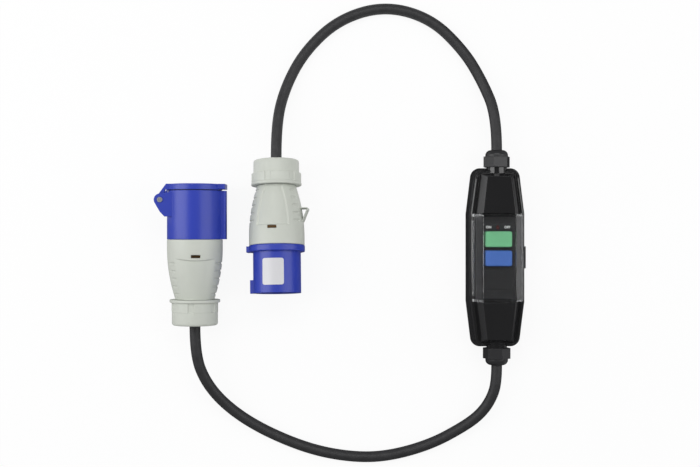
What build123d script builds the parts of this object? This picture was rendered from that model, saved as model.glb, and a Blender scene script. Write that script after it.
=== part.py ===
from build123d import *
import math
import os

os.makedirs("parts", exist_ok=True)

# Lengths are millimetres. The case of the in-line breaker lies on the floor,
# with its long side along Y and the centre of its flat back at the origin.
# The plug and the connector lie beside it, one behind the other on its -X side.
cut_overrun = 1.0
half_turn = 180

# The round rubber cable, one size for both stretches
cord_diameter = 10.0
cord_radius = cord_diameter / 2
core_radius = 1.5
core_bend_radius = 1.6

# Breaker case, two drafted shells that meet at a black seam gasket
case_length = 167.4
case_width = 56.0
case_end_width = 45.6
case_straight = 81.0
case_corner_radius = 9.0
case_draft_degrees = 8.5
case_floor_round = 3.6
case_shoulder_round = 1.8
shoulder_steps = 3
case_wall = 2.2
case_floor = 2.4
seam_level = 17.2
seam_gap = 1.2
seam_inset = 0.7
deck_level = 24.0
case_lean = math.tan(math.radians(case_draft_degrees))

# Raised crown on the upper shell, bevelled on all four sides
crown_level = 38.0
crown_side_margin = 7.6
crown_end_side_margin = 7.0
crown_end_margin = 6.1
crown_side_bevel = 5.8
crown_end_side_bevel = 5.0
crown_end_bevel = 3.4
crown_foot_width = case_width - 2 * crown_side_margin
crown_foot_end_width = case_end_width - 2 * crown_end_side_margin
crown_foot_length = case_length - 2 * crown_end_margin
crown_top_width = crown_foot_width - 2 * crown_side_bevel
crown_top_end_width = crown_foot_end_width - 2 * crown_end_side_bevel
crown_top_length = crown_foot_length - 2 * crown_end_bevel
crown_corner_radius = 1.5
crown_groove_width = 1.3
crown_groove_depth = 0.9

# Hinged clear cover over the controls
cover_end_gap = 0.5
cover_side_margin = 4.9
cover_side_slope = 7.9
cover_length = case_straight - 2 * cover_end_gap
cover_foot_width = case_width - 2 * cover_side_margin
cover_top_width = cover_foot_width - 2 * cover_side_slope
cover_lip_height = 1.6
cover_top_level = 39.3
cover_wall = 1.8
cover_lift = 0.5
cover_clearance = 0.4
cover_tab_length = 20.0
cover_tab_reach = 2.2
cover_tab_height = 2.4
cover_tab_offset = 0.4
cover_pin_inset = 0.7
cover_pin_rise = 2.2
cover_pin_radius = 0.8
cover_pin_fit = 0.05
cover_boss_radius = 1.7
cover_lug_radius = 1.5
cover_lug_width = 3.0
cover_lug_gap = 0.6

# Face plate and the two push buttons
plate_side_gap = 4.1
plate_end_gap = 2.5
plate_width = cover_foot_width - 2 * plate_side_gap
plate_length = cover_length - 2 * plate_end_gap
plate_thickness = 1.8
plate_corner_radius = 2.0
plate_line_width = 0.5
plate_line_depth = 0.3
plate_label_width = 28.2
plate_label_length = 61.8
plate_label_centre = 1.4
plate_label_split = -11.0
plate_label_corner = 3.0
button_width = 24.0
button_length = 14.2
button_top_level = 32.6
button_corner_radius = 1.6
button_edge_round = 0.7
button_clearance = 0.25
button_flange = 1.1
button_flange_thickness = 1.4
button_flange_gap = 0.2
button_wall = 1.6
reset_place = 17.0
test_place = -0.4

# Status window and the flag that slides below it
window_radius = 1.9
window_place = 27.9
window_lens_thickness = 1.2
flag_width = 12.0
flag_length = 4.8
flag_thickness = 0.8
flag_gap = 0.3

# Button springs
spring_radius = 4.0
spring_wire = 0.9
spring_pitch = 2.6
spring_seat_gap = 0.1

# Circuit board on posts, and what it carries
board_level = 8.0
board_thickness = 1.6
board_width = 40.0
board_end_width = 29.0
board_end_inset = 17.7
board_length = case_length - 2 * board_end_inset
board_neck = 86.0
post_radius = 2.0
post_across = 24.0
post_end_inset = 14.0
post_along = board_length - 2 * post_end_inset
board_top = board_level + board_thickness
seat_gap = 0.3
part_heights = (5.0, 3.2, 6.4, 4.0)
part_widths = (6.0, 4.0, 5.0, 7.0)
part_across = (-15.5, 16.5, 16.8, 15.5)
part_along = (-39.0, -38.0, -24.0, 3.0)

# Current transformer ring and trip solenoid
toroid_radius = 13.0
toroid_bore_radius = 6.0
toroid_height = 10.0
toroid_place = -24.0
toroid_round = 2.0
solenoid_radius = 4.4
solenoid_length = 22.0
solenoid_across = -18.4
solenoid_front = 18.0
solenoid_bore_depth = 12.0
plunger_radius = 1.5
plunger_fit = 0.1
plunger_gap = 0.4

# Contact carriage, its bridges and the fixed contacts
carriage_left = -21.0
carriage_right = 12.0
carriage_back = 30.0
carriage_front = 38.0
carriage_height = 6.2
contact_across = 14.0
contact_width = 4.0
contact_thickness = 1.2
contact_front = 42.0
contact_gap = 0.1
contact_travel = 3.0
fixed_contact_depth = 2.4
fixed_contact_top = 19.0

# Terminal blocks and their screws
terminal_pitch = 9.5
terminal_width = 8.0
terminal_length = 10.0
terminal_height = 10.0
terminal_end_inset = 11.0
terminal_place = board_length / 2 - terminal_end_inset
terminal_bore_radius = 1.9
terminal_screw_radius = 1.7
terminal_screw_depth = 4.0
terminal_head_radius = 2.7
terminal_head_height = 1.4

# Case screws, driven from below
screw_across = 35.6
screw_end_inset = 13.7
screw_along = case_length - 2 * screw_end_inset
screw_radius = 1.5
screw_head_radius = 2.9
screw_head_height = 2.2
screw_recess_radius = 3.3
screw_recess_depth = 3.0
screw_boss_radius = 4.4
screw_top = 22.6

# Cable glands at both ends of the case
gland_level = 16.5
gland_seat_inset = 0.5
gland_seat = case_length / 2 - gland_seat_inset
gland_hex_across = 22.0
gland_hex_length = 9.8
gland_dome_radius = 10.4
gland_dome_length = 6.0
gland_dome_round = 4.8
gland_turn_degrees = 12.0
gland_boss_radius = 9.4
gland_thread_radius = 8.0
gland_thread_fit = 0.15
gland_body_length = 14.0
gland_flange_radius = 10.6
gland_flange_thickness = 2.2
gland_flange_clear = 1.8
gland_bore_fit = 0.4
gland_end = gland_seat + gland_hex_length + gland_dome_length
tail_inside = 12.0

# Shell of the plug and of the connector: cap nut at z = 0, mouth towards +Z
shell_length = 54.6
shell_radius = 25.3
shell_neck_end_radius = 17.7
shell_straight = 8.0
shell_wall = 2.4
shell_thread_radius = 15.4
shell_thread_length = 17.0
shell_throat_radius = 12.4
shell_throat_step_radius = 9.0
shell_edge_round = 0.6
nut_length = 23.5
nut_top_length = 12.2
nut_radius = 20.9
nut_top_round = 2.4
plug_land_radius = 22.7
socket_land_radius = 21.1
nut_land_height = 0.9
nut_flange_radius = 23.0
nut_flange_thickness = 2.6
nut_land_count = 6
nut_land_degrees = 45.0
plug_nut_turn_degrees = -19.7
socket_nut_turn_degrees = 28.0
nut_face = 5.0
nut_cavity_radius = 15.8
nut_bore_fit = 0.4
nut_gap = 0.3
seal_length = 11.0
clamp_place = 31.0
clamp_thickness = 8.0
clamp_width = 22.0
clamp_height = 7.0
clamp_split = 1.2
clamp_screw_radius = 1.5
clamp_screw_place = 8.4
sheath_end = 42.0
shell_start = nut_length + nut_gap
shell_end = shell_start + shell_length

# Grip: five long grooves at the keyed side, short dashes at the other, and a
# sunk panel, front and back
groove_count = 5
groove_pitch = 7.0
groove_first = 5.0
groove_radius = 1.1
groove_proud = 0.35
long_groove_degrees = 84.0
short_groove_degrees = 17.0
short_groove_from = 23.0
panel_depth = 1.0
panel_low_share = 0.30
plug_panel_high_share = 0.56
socket_panel_high_share = 0.75
socket_panel_low_share = 0.60
panel_end = 17.2
panel_corner_radius = 2.0

# Slot in the shell where the insert's catch shows
slot_width = 8.4
slot_height = 2.6
slot_place = 15.3
catch_clearance = 0.2
catch_sink = 0.8

# Blue inserts
skirt_fit = 0.2
skirt_wall = 2.0
skirt_length = 14.0
plug_flange_radius = 25.5
plug_flange_thickness = 6.0
shroud_radius = 21.75
shroud_inner_radius = 19.2
shroud_length = 37.5
key_width = 6.0
key_height = 2.9
key_length = 12.2
lug_width = 9.0
lug_height = 2.2
lug_thickness = 5.4
carrier_fit = 0.2
carrier_front = 3.0
carrier_back = 8.4
plug_roll_degrees = 6.7

# Contacts: two live pins and a thicker, longer earth pin on one circle
pin_circle_radius = 10.4
live_pin_radius = 2.5
earth_pin_radius = 3.5
live_pin_recess = 4.4
earth_pin_recess = 2.4
pin_tip_round = 1.4
pin_fit = 0.05
pin_shoulder = 0.4
barrel_length = 13.5
barrel_radius = 4.1
contact_screw_radius = 1.75
contact_screw_length = 4.6
contact_screw_place = 5.0

# Hook on the plug's shell that holds the lid of a mated connector
hook_width = 11.0
hook_ledge = 45.2
hook_reach = 29.8
hook_thickness = 1.5
hook_root = 57.4
hook_bury = 2.0

# Connector: blue barrel with a keyway, a fixed contact block and a lid
socket_length = 44.3
socket_bore_radius = 22.15
block_radius = 18.7
block_recess = 0.8
keyway_width = 12.0
keyway_proud = 3.6
keyway_slot_width = 6.8
keyway_slot_radius = 25.6
web_thickness = 4.0
sleeve_wall = 1.2
sleeve_depth = 3.0
entry_fit = 0.3

# Lid on a side hinge, closed by a torsion spring
lid_gap = 0.8
lid_thickness = 5.3
lid_radius = 25.1
lid_dish_radius = 21.4
lid_dish_depth = 1.6
lid_lip_reach = 28.6
lid_lip_width = 22.0
lid_lip_thickness = 4.6
lid_lip_round = 1.6
lid_edge_round = 0.8
lid_seal_radius = 24.4
lid_seal_bore_radius = 22.6
lid_seal_depth = 0.6
lid_seal_proud = 0.6
hinge_out = 29.3
hinge_down = 8.4
hinge_pin_radius = 1.6
hinge_pin_fit = 0.05
hinge_pin_head_radius = 2.4
hinge_pin_head_height = 1.0
ear_span = 35.6
ear_thickness = 3.2
ear_radius = 5.5
ear_root_drop = 23.6
ear_curve_shares = ((0, 0.82), (0.58, 0.59), (0.96, 0.43))
ear_top_drop = 0.6
arm_gap = 0.4
arm_thickness = 3.8
arm_radius = 4.6
lid_spring_radius = 3.0
lid_spring_wire = 1.0
lid_spring_pitch = 1.35
lid_spring_ends = 2.9

# Bare rating plate on the plug's shroud
label_width = 19.3
label_length = 23.9
label_thickness = 0.25
label_place = 6.7
label_corner_radius = 2.0

# Places of the plug and the connector on the floor
plug_place = (-203.07, 89.31, 21.55)
plug_tilt_degrees = 5.2
plug_yaw_degrees = 0.8
socket_place = (-277.2, -61.6, shell_radius)
socket_shell_turn_degrees = 9.0

# Routes of the two cables, from the connector or plug to the breaker
cord_floor = cord_radius + 0.1
line_route = [
    plug_place,
    (-203.53, 122.5, 18.53),
    (-195.8, 158.4, cord_floor),
    (-177.6, 192.1, cord_floor),
    (-145.9, 221.8, cord_floor),
    (-103.0, 234.6, cord_floor),
    (-60.2, 222.9, cord_floor),
    (-29.4, 192.9, cord_floor),
    (-12.0, 164.2, cord_floor),
    (0, 131.0, gland_level),
    (0, gland_end, gland_level),
]
load_route = [
    socket_place,
    (-277.2, -89.0, shell_radius),
    (-267.6, -116.0, 18.5),
    (-248.0, -140.0, 8.5),
    (-216.5, -161.0, cord_floor),
    (-172.8, -179.0, cord_floor),
    (-133.6, -186.3, cord_floor),
    (-99.8, -185.5, cord_floor),
    (-60.3, -174.5, cord_floor),
    (-29.5, -157.5, 7.2),
    (-14.5, -145.5, 10.8),
    (-5.0, -131.5, 14.2),
    (0, -115.5, gland_level),
    (0, -gland_end, gland_level),
]
bend_share = 0.45

BASE = (Align.CENTER, Align.CENTER, Align.MIN)


def rod(radius, low, high):
    """Round bar along Z between two levels."""
    return Pos(0, 0, low) * Cylinder(radius, high - low, align=BASE)


def ring(outer, inner, low, high):
    return rod(outer, low, high) - rod(inner, low - cut_overrun, high + cut_overrun)


def block(x_low, x_high, y_low, y_high, z_low, z_high):
    """Box between two corners."""
    box = Box(x_high - x_low, y_high - y_low, z_high - z_low, align=(Align.MIN,) * 3)
    return Pos(x_low, y_low, z_low) * box


def slab(width, length, low, high, corner, y_centre=0):
    """Upright plate with rounded corners."""
    face = Pos(0, y_centre, low) * RectangleRounded(width, length, corner)
    return extrude(face, high - low)


def turned(points):
    """Solid of revolution about Z from an outline of (radius, z) points."""
    return revolve(make_face(Plane.XZ * Polyline(*points, close=True)), Axis.Z)


def along_y(shape, x, y, z):
    """Carries a shape built along Z so that its Z axis points along +Y."""
    return Pos(x, y, z) * Rot(-90, 0, 0) * shape


def save(name, shape):
    export_step(shape, "parts/" + name + ".step")


# Outline of the case: straight flanks that taper towards both ends
def plan(width, end_width, length, straight, corner, level):
    mid, end, reach = width / 2, end_width / 2, length / 2
    points = [
        (end, -reach),
        (mid, -straight / 2),
        (mid, straight / 2),
        (end, reach),
        (-end, reach),
        (-mid, straight / 2),
        (-mid, -straight / 2),
        (-end, -reach),
    ]
    face = make_face(Polyline(*points, close=True))
    tips = face.vertices().filter_by(lambda v: abs(v.Y) > (straight / 2 + reach) / 2)
    return Pos(0, 0, level) * fillet(tips, corner)


def case_section(level, inset=0):
    """Case outline at a level, drawn in by the draft and by an inset."""
    shrink = 2 * (case_lean * level + inset)
    return plan(
        case_width - shrink,
        case_end_width - shrink,
        case_length - shrink,
        case_straight,
        case_corner_radius - inset,
        level,
    )


def case_solid(low, high, inset=0):
    return loft([case_section(low, inset), case_section(high, inset)], ruled=True)


def shouldered_case(low):
    """Upper case wall whose top edge turns in on a quarter round."""
    start = deck_level - case_shoulder_round
    sections = [case_section(low)]
    for step in range(shoulder_steps + 1):
        angle = math.radians(90 * step / shoulder_steps)
        level = start + case_shoulder_round * math.sin(angle)
        sections.append(case_section(level, case_shoulder_round * (1 - math.cos(angle))))
    return loft(sections, ruled=True)


def crown_section(level, start, grow):
    """Outline of one tapered end of the crown at a level, from start to its tip."""
    share = (level - deck_level) / (crown_level - deck_level)
    mid = (crown_foot_width + (crown_top_width - crown_foot_width) * share) / 2 + grow
    end = (crown_foot_end_width + (crown_top_end_width - crown_foot_end_width) * share) / 2 + grow
    reach = (crown_foot_length + (crown_top_length - crown_foot_length) * share) / 2 + grow
    near = mid + (end - mid) * (start - case_straight / 2) / (reach - case_straight / 2)
    face = make_face(Polyline((near, start), (end, reach), (-end, reach), (-near, start), close=True))
    tips = face.vertices().sort_by(Axis.Y)[-2:]
    return Pos(0, 0, level) * fillet(tips, crown_corner_radius)


def crown_ends(low, high, start=case_straight / 2, grow=0):
    """Bevelled blocks at both ends of the deck, or their hollows."""
    end = loft([crown_section(low, start, grow), crown_section(high, start, grow)], ruled=True)
    return [end, Rot(0, 0, 180) * end]


def at_screws(shape):
    """Four copies of a shape at the case screws."""
    spots = [(x * screw_across / 2, y * screw_along / 2) for x in (-1, 1) for y in (-1, 1)]
    return [Pos(x, y, 0) * shape for x, y in spots]


def gland_bosses():
    bosses = Part()
    for side in (-1, 1):
        bosses += gland_at(side, rod(gland_boss_radius, gland_seat - gland_boss_depth(), gland_seat))
    return bosses


def gland_holes():
    """Threaded bores for the glands, one at each end of the case."""
    start = gland_seat - gland_boss_depth() - cut_overrun
    hole = rod(gland_thread_radius, start, gland_end)
    return gland_at(1, hole) + gland_at(-1, hole)


def rcd_lower_shell():
    shell = case_solid(0, seam_level)
    rim = shell.edges().filter_by(lambda e: abs(e.center().Z) < seam_gap / 2)
    shell = fillet(rim, case_floor_round)
    below_seam = block(-case_width, case_width, -case_length, case_length, 0, seam_level)
    shell -= case_solid(case_floor, seam_level + cut_overrun, case_wall)
    shell += gland_bosses() & below_seam
    inside = case_solid(case_floor / 2, seam_level, case_wall / 2)
    for boss in at_screws(rod(screw_boss_radius, case_floor / 2, seam_level)):
        shell += boss & inside
    for post in board_posts():
        shell += post
    for hole in at_screws(rod(screw_radius, -cut_overrun, seam_level + cut_overrun)):
        shell -= hole
    for recess in at_screws(rod(screw_recess_radius, -cut_overrun, screw_recess_depth)):
        shell -= recess
    return shell - gland_holes()


def board_posts():
    posts = []
    for x in (-1, 1):
        for y in (-1, 1):
            post = rod(post_radius, case_floor / 2, board_level)
            posts.append(Pos(x * post_across / 2, y * post_along / 2, 0) * post)
    return posts


def button_hole(place, clearance, low, high):
    width = button_width + 2 * clearance
    length = button_length + 2 * clearance
    return slab(width, length, low, high, button_corner_radius + clearance, place)


def cover_lugs():
    """Two lugs on the deck that carry the cover's hinge pins."""
    lugs = Part()
    for side in (-1, 1):
        middle = side * (lug_outer_end() - cover_lug_width / 2)
        eye = Rot(90, 0, 0) * Cylinder(cover_lug_radius, cover_lug_width)
        lug = Pos(cover_axis_x(), middle, cover_axis_z()) * eye
        foot = block(
            cover_axis_x() - cover_lug_radius,
            cover_axis_x() + cover_lug_radius,
            middle - cover_lug_width / 2,
            middle + cover_lug_width / 2,
            deck_level - case_wall / 2,
            cover_axis_z(),
        )
        lugs += lug + foot
    return lugs


def lug_outer_end():
    return cover_length / 2 - cover_wall - cover_lug_gap


def cover_axis_x():
    return -cover_foot_width / 2 + cover_pin_inset


def cover_axis_z():
    return deck_level + cover_pin_rise


def rcd_upper_shell():
    low = seam_level + seam_gap
    shell = shouldered_case(low)
    groove_floor = deck_level - crown_groove_depth
    for channel in crown_ends(groove_floor, deck_level + cut_overrun, grow=crown_groove_width):
        shell -= channel
    for end in crown_ends(groove_floor - case_wall / 2, crown_level):
        shell += end
    shell -= case_solid(low - cut_overrun, deck_level - case_wall, case_wall)
    inner_start = case_straight / 2 + case_wall
    under_deck = deck_level - 2 * case_wall
    for hollow in crown_ends(under_deck, crown_level - case_wall, inner_start, -case_wall):
        shell -= hollow
    above_seam = block(-case_width, case_width, -case_length, case_length, low, crown_level)
    shell += gland_bosses() & above_seam
    inside = case_solid(low, deck_level, case_wall / 2)
    for boss in at_screws(rod(screw_boss_radius, low, deck_level - case_wall / 2)):
        shell += boss & inside
    for hole in at_screws(rod(screw_radius, low - cut_overrun, screw_top)):
        shell -= hole
    for place in (reset_place, test_place):
        shell -= button_hole(place, button_clearance, low, crown_level)
    flag_hole = rod(window_radius, low, crown_level)
    shell -= Pos(0, window_place, 0) * flag_hole
    shell += cover_lugs()
    shell -= cover_pin_bores()
    return shell - gland_holes()


def cover_pin_bores():
    bore = Rot(90, 0, 0) * Cylinder(cover_pin_radius, cover_length + 2 * cut_overrun)
    return Pos(cover_axis_x(), 0, cover_axis_z()) * bore


def case_gasket():
    low, high = seam_level, seam_level + seam_gap
    gasket = case_solid(low, high, seam_inset) - case_solid(low, high, case_wall - seam_gap / 4)
    return gasket - gland_holes()


def case_screws():
    head = rod(screw_head_radius, screw_recess_depth - screw_head_height, screw_recess_depth)
    slot_width = screw_radius / 2
    slot = Box(2 * screw_head_radius, slot_width, 2 * slot_width)
    head -= Pos(0, 0, screw_recess_depth - screw_head_height) * slot
    shank = rod(screw_radius, screw_recess_depth, screw_top)
    return Compound([s.solid() for s in at_screws(head + shank)])


def cover_outline(shrink, lift):
    """Half-hexagon section of the cover, drawn in by its wall."""
    rise = cover_top_level - cover_foot_level() - cover_lip_height
    slope = (cover_foot_width - cover_top_width) / 2 / rise
    lean = math.hypot(1, slope)
    side = cover_foot_width / 2 - shrink
    top_z = cover_top_level - shrink
    knee_z = cover_foot_level() + cover_lip_height
    line_shift = shrink * lean
    knee_low = knee_z - (line_shift - shrink) / slope
    top_side = cover_foot_width / 2 - line_shift - slope * (top_z - knee_z)
    foot = cover_foot_level() - lift
    right = [(side, foot), (side, knee_low), (top_side, top_z)]
    return right + [(-x, z) for x, z in reversed(right)]


def cover_foot_level():
    return deck_level + cover_lift


def cover_prism(shrink, lift, length):
    face = make_face(Plane.XZ * Polyline(*cover_outline(shrink, lift), close=True))
    return Pos(0, length / 2, 0) * extrude(face, length)


def clear_cover():
    cover = cover_prism(0, 0, cover_length)
    ridge = cover.edges().filter_by(lambda e: e.center().Z > cover_top_level - cover_pin_fit)
    cover = fillet(ridge, cover_wall / 3)
    cover -= cover_prism(cover_wall, cut_overrun, cover_length - 2 * cover_wall)
    x, z = cover_axis_x(), cover_axis_z()
    for side in (-1, 1):
        middle = side * (cover_length / 2 - cover_wall / 2)
        boss = Rot(90, 0, 0) * Cylinder(cover_boss_radius, cover_wall)
        cover += Pos(x, middle, z) * boss
        room = cover_lug_width + 2 * cover_lug_gap
        notch_middle = side * (lug_outer_end() - cover_lug_width / 2)
        notch_radius = cover_lug_radius + cover_clearance
        notch = Rot(90, 0, 0) * Cylinder(notch_radius, room)
        cover -= Pos(x, notch_middle, z) * notch
        drop = Box(2 * notch_radius, room, 2 * cover_pin_rise)
        cover -= Pos(x, notch_middle, z - cover_pin_rise) * drop
    bore = Rot(90, 0, 0) * Cylinder(cover_pin_radius + cover_pin_fit, 2 * cover_length)
    cover -= Pos(x, 0, z) * bore
    tab = block(
        cover_foot_width / 2 - cover_wall / 2,
        cover_foot_width / 2 + cover_tab_reach,
        cover_tab_offset - cover_tab_length / 2,
        cover_tab_offset + cover_tab_length / 2,
        cover_foot_level(),
        cover_foot_level() + cover_tab_height,
    )
    outer_edges = tab.edges().filter_by(Axis.Z).sort_by(Axis.X)[-2:]
    return cover + fillet(outer_edges, cover_tab_reach / 2)


def cover_hinge_pins():
    pins = []
    for side in (-1, 1):
        length = cover_length / 2 - lug_outer_end() + cover_lug_width
        middle = side * (cover_length / 2 - length / 2)
        pin = Rot(90, 0, 0) * Cylinder(cover_pin_radius, length)
        pins.append((Pos(cover_axis_x(), middle, cover_axis_z()) * pin).solid())
    return Compound(pins)


def faceplate():
    top = deck_level + plate_thickness
    plate = slab(plate_width, plate_length, deck_level, top, plate_corner_radius)
    floor = top - plate_line_depth
    frame = slab(plate_label_width, plate_label_length, floor, top, plate_label_corner, plate_label_centre)
    inner_corner = plate_label_corner - plate_line_width
    inner_width = plate_label_width - 2 * plate_line_width
    inner_length = plate_label_length - 2 * plate_line_width
    frame -= slab(inner_width, inner_length, floor, top, inner_corner, plate_label_centre)
    half = plate_label_width / 2
    frame += block(-half, half, plate_label_split - plate_line_width, plate_label_split, floor, top)
    plate -= frame
    for place in (reset_place, test_place):
        plate -= button_hole(place, button_clearance, deck_level - cut_overrun, top + cut_overrun)
    lens_seat = rod(window_radius, deck_level - cut_overrun, top + cut_overrun)
    return plate - Pos(0, window_place, 0) * lens_seat


def status_window():
    top = deck_level + plate_thickness
    return Pos(0, window_place, 0) * rod(window_radius, top - window_lens_thickness, top)


def button(place):
    """Hollow cap with a retaining flange below the deck."""
    flange_top = deck_level - case_wall - button_flange_gap
    flange_low = flange_top - button_flange_thickness
    cap = button_hole(place, 0, flange_low, button_top_level)
    rim = cap.edges().filter_by(lambda e: e.center().Z > button_top_level - button_edge_round)
    cap = fillet(rim, button_edge_round)
    cap += button_hole(place, button_flange, flange_low, flange_top)
    hollow = slab(
        button_width - 2 * button_wall,
        button_length - 2 * button_wall,
        flange_low - cut_overrun,
        button_top_level - 2 * button_wall,
        button_edge_round,
        place,
    )
    return cap - hollow


def button_spring(place):
    low = board_top + spring_wire / 2 + spring_seat_gap
    high = button_top_level - 2 * button_wall - spring_wire / 2 - spring_seat_gap
    coil = Helix(spring_pitch, high - low, spring_radius)
    wire = Plane(origin=coil @ 0, z_dir=coil % 0) * Circle(spring_wire / 2)
    return Pos(0, place, low) * sweep(wire, coil)


def status_flag():
    top = deck_level - case_wall - flag_gap
    flag = Box(flag_width, flag_length, flag_thickness, align=(Align.CENTER, Align.CENTER, Align.MAX))
    shift = flag_width / 2 - window_radius - flag_gap
    return Pos(shift, window_place, top) * flag


def contact_carriage():
    low = board_top + seat_gap
    return block(carriage_left, carriage_right, carriage_back, carriage_front, low, low + carriage_height)


def moving_contacts():
    low = board_top + seat_gap + carriage_height
    bridges = []
    for side in (-1, 1):
        x = side * contact_across / 2
        back = (carriage_back + carriage_front) / 2
        half = contact_width / 2
        strip = block(x - half, x + half, back, contact_front, low, low + contact_thickness)
        bridges.append(strip.solid())
    return Compound(bridges)


def fixed_contacts():
    posts = []
    for side in (-1, 1):
        x = side * contact_across / 2
        near = contact_front + contact_gap
        half = contact_width / 2
        post = block(x - half, x + half, near, near + fixed_contact_depth, board_top, fixed_contact_top)
        posts.append(post.solid())
    return Compound(posts)


def circuit_board():
    face = plan(board_width, board_end_width, board_length, board_neck, post_radius, board_level)
    return extrude(face, board_thickness)


def board_parts():
    """Capacitor, resistors and the small amplifier block."""
    pieces = []
    for x, y, width, height in zip(part_across, part_along, part_widths, part_heights):
        piece = Pos(x, y, board_top) * Box(width, width, height, align=BASE)
        pieces.append(piece.solid())
    return Compound(pieces)


def sensing_toroid():
    core = ring(toroid_radius, toroid_bore_radius, board_top, board_top + toroid_height)
    core = fillet(core.edges().filter_by(GeomType.CIRCLE), toroid_round)
    return Pos(0, toroid_place, 0) * core


def solenoid_level():
    return board_top + solenoid_radius


def trip_solenoid():
    coil = rod(solenoid_radius, 0, solenoid_length)
    bore_start = solenoid_length - solenoid_bore_depth
    coil -= rod(plunger_radius + plunger_fit, bore_start, solenoid_length + cut_overrun)
    return along_y(coil, solenoid_across, solenoid_front - solenoid_length, solenoid_level())


def trip_plunger():
    start = solenoid_front - solenoid_bore_depth + contact_travel + plunger_gap
    plunger = rod(plunger_radius, start, carriage_back - plunger_gap)
    return along_y(plunger, solenoid_across, 0, solenoid_level())


def terminal_spots():
    return [(x * terminal_pitch, y * terminal_place) for y in (-1, 1) for x in (-1, 0, 1)]


def rcd_terminals():
    blocks = []
    top = board_top + terminal_height
    for x, y in terminal_spots():
        body = Pos(x, y, board_top) * Box(terminal_width, terminal_length, terminal_height, align=BASE)
        bore = Rot(90, 0, 0) * Cylinder(terminal_bore_radius, 2 * terminal_length)
        body -= Pos(x, y, gland_level) * bore
        body -= Pos(x, y, 0) * rod(terminal_screw_radius, gland_level, top + cut_overrun)
        blocks.append(body.solid())
    return Compound(blocks)


def rcd_terminal_screws():
    screws = []
    top = board_top + terminal_height
    for x, y in terminal_spots():
        screw = rod(terminal_screw_radius, top - terminal_screw_depth / 2, top)
        screw += rod(terminal_head_radius, top, top + terminal_head_height)
        screws.append((Pos(x, y, 0) * screw).solid())
    return Compound(screws)


def cores(start, stop, spread, bend):
    """Three insulated cores that fan out from the sheath to their terminals."""
    near = core_radius * 2 / math.sqrt(3) + core_radius / 4
    lines = []
    for place in spread:
        angle = math.atan2(place[1], place[0])
        first = (near * math.cos(angle), near * math.sin(angle))
        if math.hypot(*place) == 0:
            first = (0, 0)
        lines.append((first, place))
    solids = []
    for first, place in lines:
        if math.hypot(place[0] - first[0], place[1] - first[1]) == 0:
            solids.append((Pos(*first, 0) * rod(core_radius, start, stop)).solid())
            continue
        run = (stop - start) / 4
        points = [
            (*first, start),
            (*first, start + run),
            (*place, stop - run),
            (*place, stop),
        ]
        path = FilletPolyline(*points, radius=bend)
        face = Plane(origin=path @ 0, z_dir=path % 0) * Circle(core_radius)
        solids.append(sweep(face, path).solid())
    return solids


def rcd_cable_ends():
    """Sheath ends held in the glands, with their cores to the terminals."""
    inner = gland_seat - tail_inside
    solids = []
    for side in (-1, 1):
        turn = Rot(0, 0, 0 if side > 0 else 180)
        sheath = along_y(rod(cord_radius, 0, gland_end - inner), 0, inner, gland_level)
        solids.append((turn * sheath).solid())
        reach = terminal_place + terminal_length / 2 - terminal_length / 4
        gap = inner - reach
        spread = [(-terminal_pitch, 0), (0, 0), (terminal_pitch, 0)]
        for core in cores(0, gap, spread, core_bend_radius):
            solids.append((turn * along_y(Rot(180, 0, 0) * core, 0, inner, gland_level)).solid())
    return Compound(solids)


def gland_at(side, shape):
    """Puts a gland piece, built along Z, at one end of the case."""
    turn = Rot(0, 0, 0 if side > 0 else 180)
    return turn * along_y(shape, 0, 0, gland_level)


def gland_body(side):
    start = gland_seat - gland_boss_depth()
    body = ring(gland_thread_radius, cord_radius + gland_bore_fit, start, start + gland_body_length)
    low = start - gland_flange_thickness
    body += ring(gland_flange_radius, cord_radius + gland_bore_fit, low, start)
    return gland_at(side, body)


def gland_boss_depth():
    """From the nut's seat to the inner end of the boss, inside the crown."""
    return gland_seat - (crown_foot_length / 2 - case_wall) + gland_flange_clear


def gland_nut(side):
    cavity_radius = gland_thread_radius + gland_thread_fit
    hexagon = RegularPolygon(gland_hex_across / 2, 6, major_radius=False)
    hexagon = Rot(0, 0, gland_turn_degrees) * hexagon
    dome_start = gland_seat + gland_hex_length
    nut = Pos(0, 0, gland_seat) * extrude(hexagon, gland_hex_length)
    dome = rod(gland_dome_radius, dome_start, gland_end)
    top_rim = dome.edges().filter_by(lambda e: e.center().Z > gland_end - seat_gap)
    nut += fillet(top_rim, gland_dome_round)
    nut -= rod(cavity_radius, gland_seat - cut_overrun, dome_start)
    nut -= rod(cord_radius + gland_bore_fit, 0, gland_end + cut_overrun)
    return gland_at(side, nut)


def gland_seal(side):
    low = gland_seat - gland_boss_depth() + gland_body_length + seat_gap / 2
    high = gland_seat + gland_hex_length - seat_gap / 2
    return gland_at(side, ring(gland_thread_radius, cord_radius, low, high))


def cap_nut(land_radius, turn):
    """Nut with a smooth top, a ring of six lands and an end flange."""
    ring_end = nut_length - nut_flange_thickness
    nut = rod(nut_radius, 0, nut_top_length)
    rim = nut.edges().filter_by(lambda e: e.center().Z < nut_face / 2 and e.geom_type == GeomType.CIRCLE)
    nut = fillet(rim, nut_top_round)
    nut += rod(land_radius - nut_land_height, nut_top_length, ring_end)
    nut += rod(nut_flange_radius, ring_end, nut_length)
    profile = make_face(Plane.XZ * Polyline(
        (nut_radius / 2, nut_top_length),
        (land_radius, nut_top_length),
        (land_radius, ring_end),
        (nut_radius / 2, ring_end),
        close=True,
    ))
    land = revolve(profile, Axis.Z, nut_land_degrees)
    for index in range(nut_land_count):
        angle = 360 / nut_land_count * (index + 1 / 2) - nut_land_degrees / 2 + turn
        nut += Rot(0, 0, angle) * land
    nut -= rod(cord_radius + nut_bore_fit, -cut_overrun, nut_length)
    return nut - rod(nut_cavity_radius, nut_face, nut_length + cut_overrun)


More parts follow.
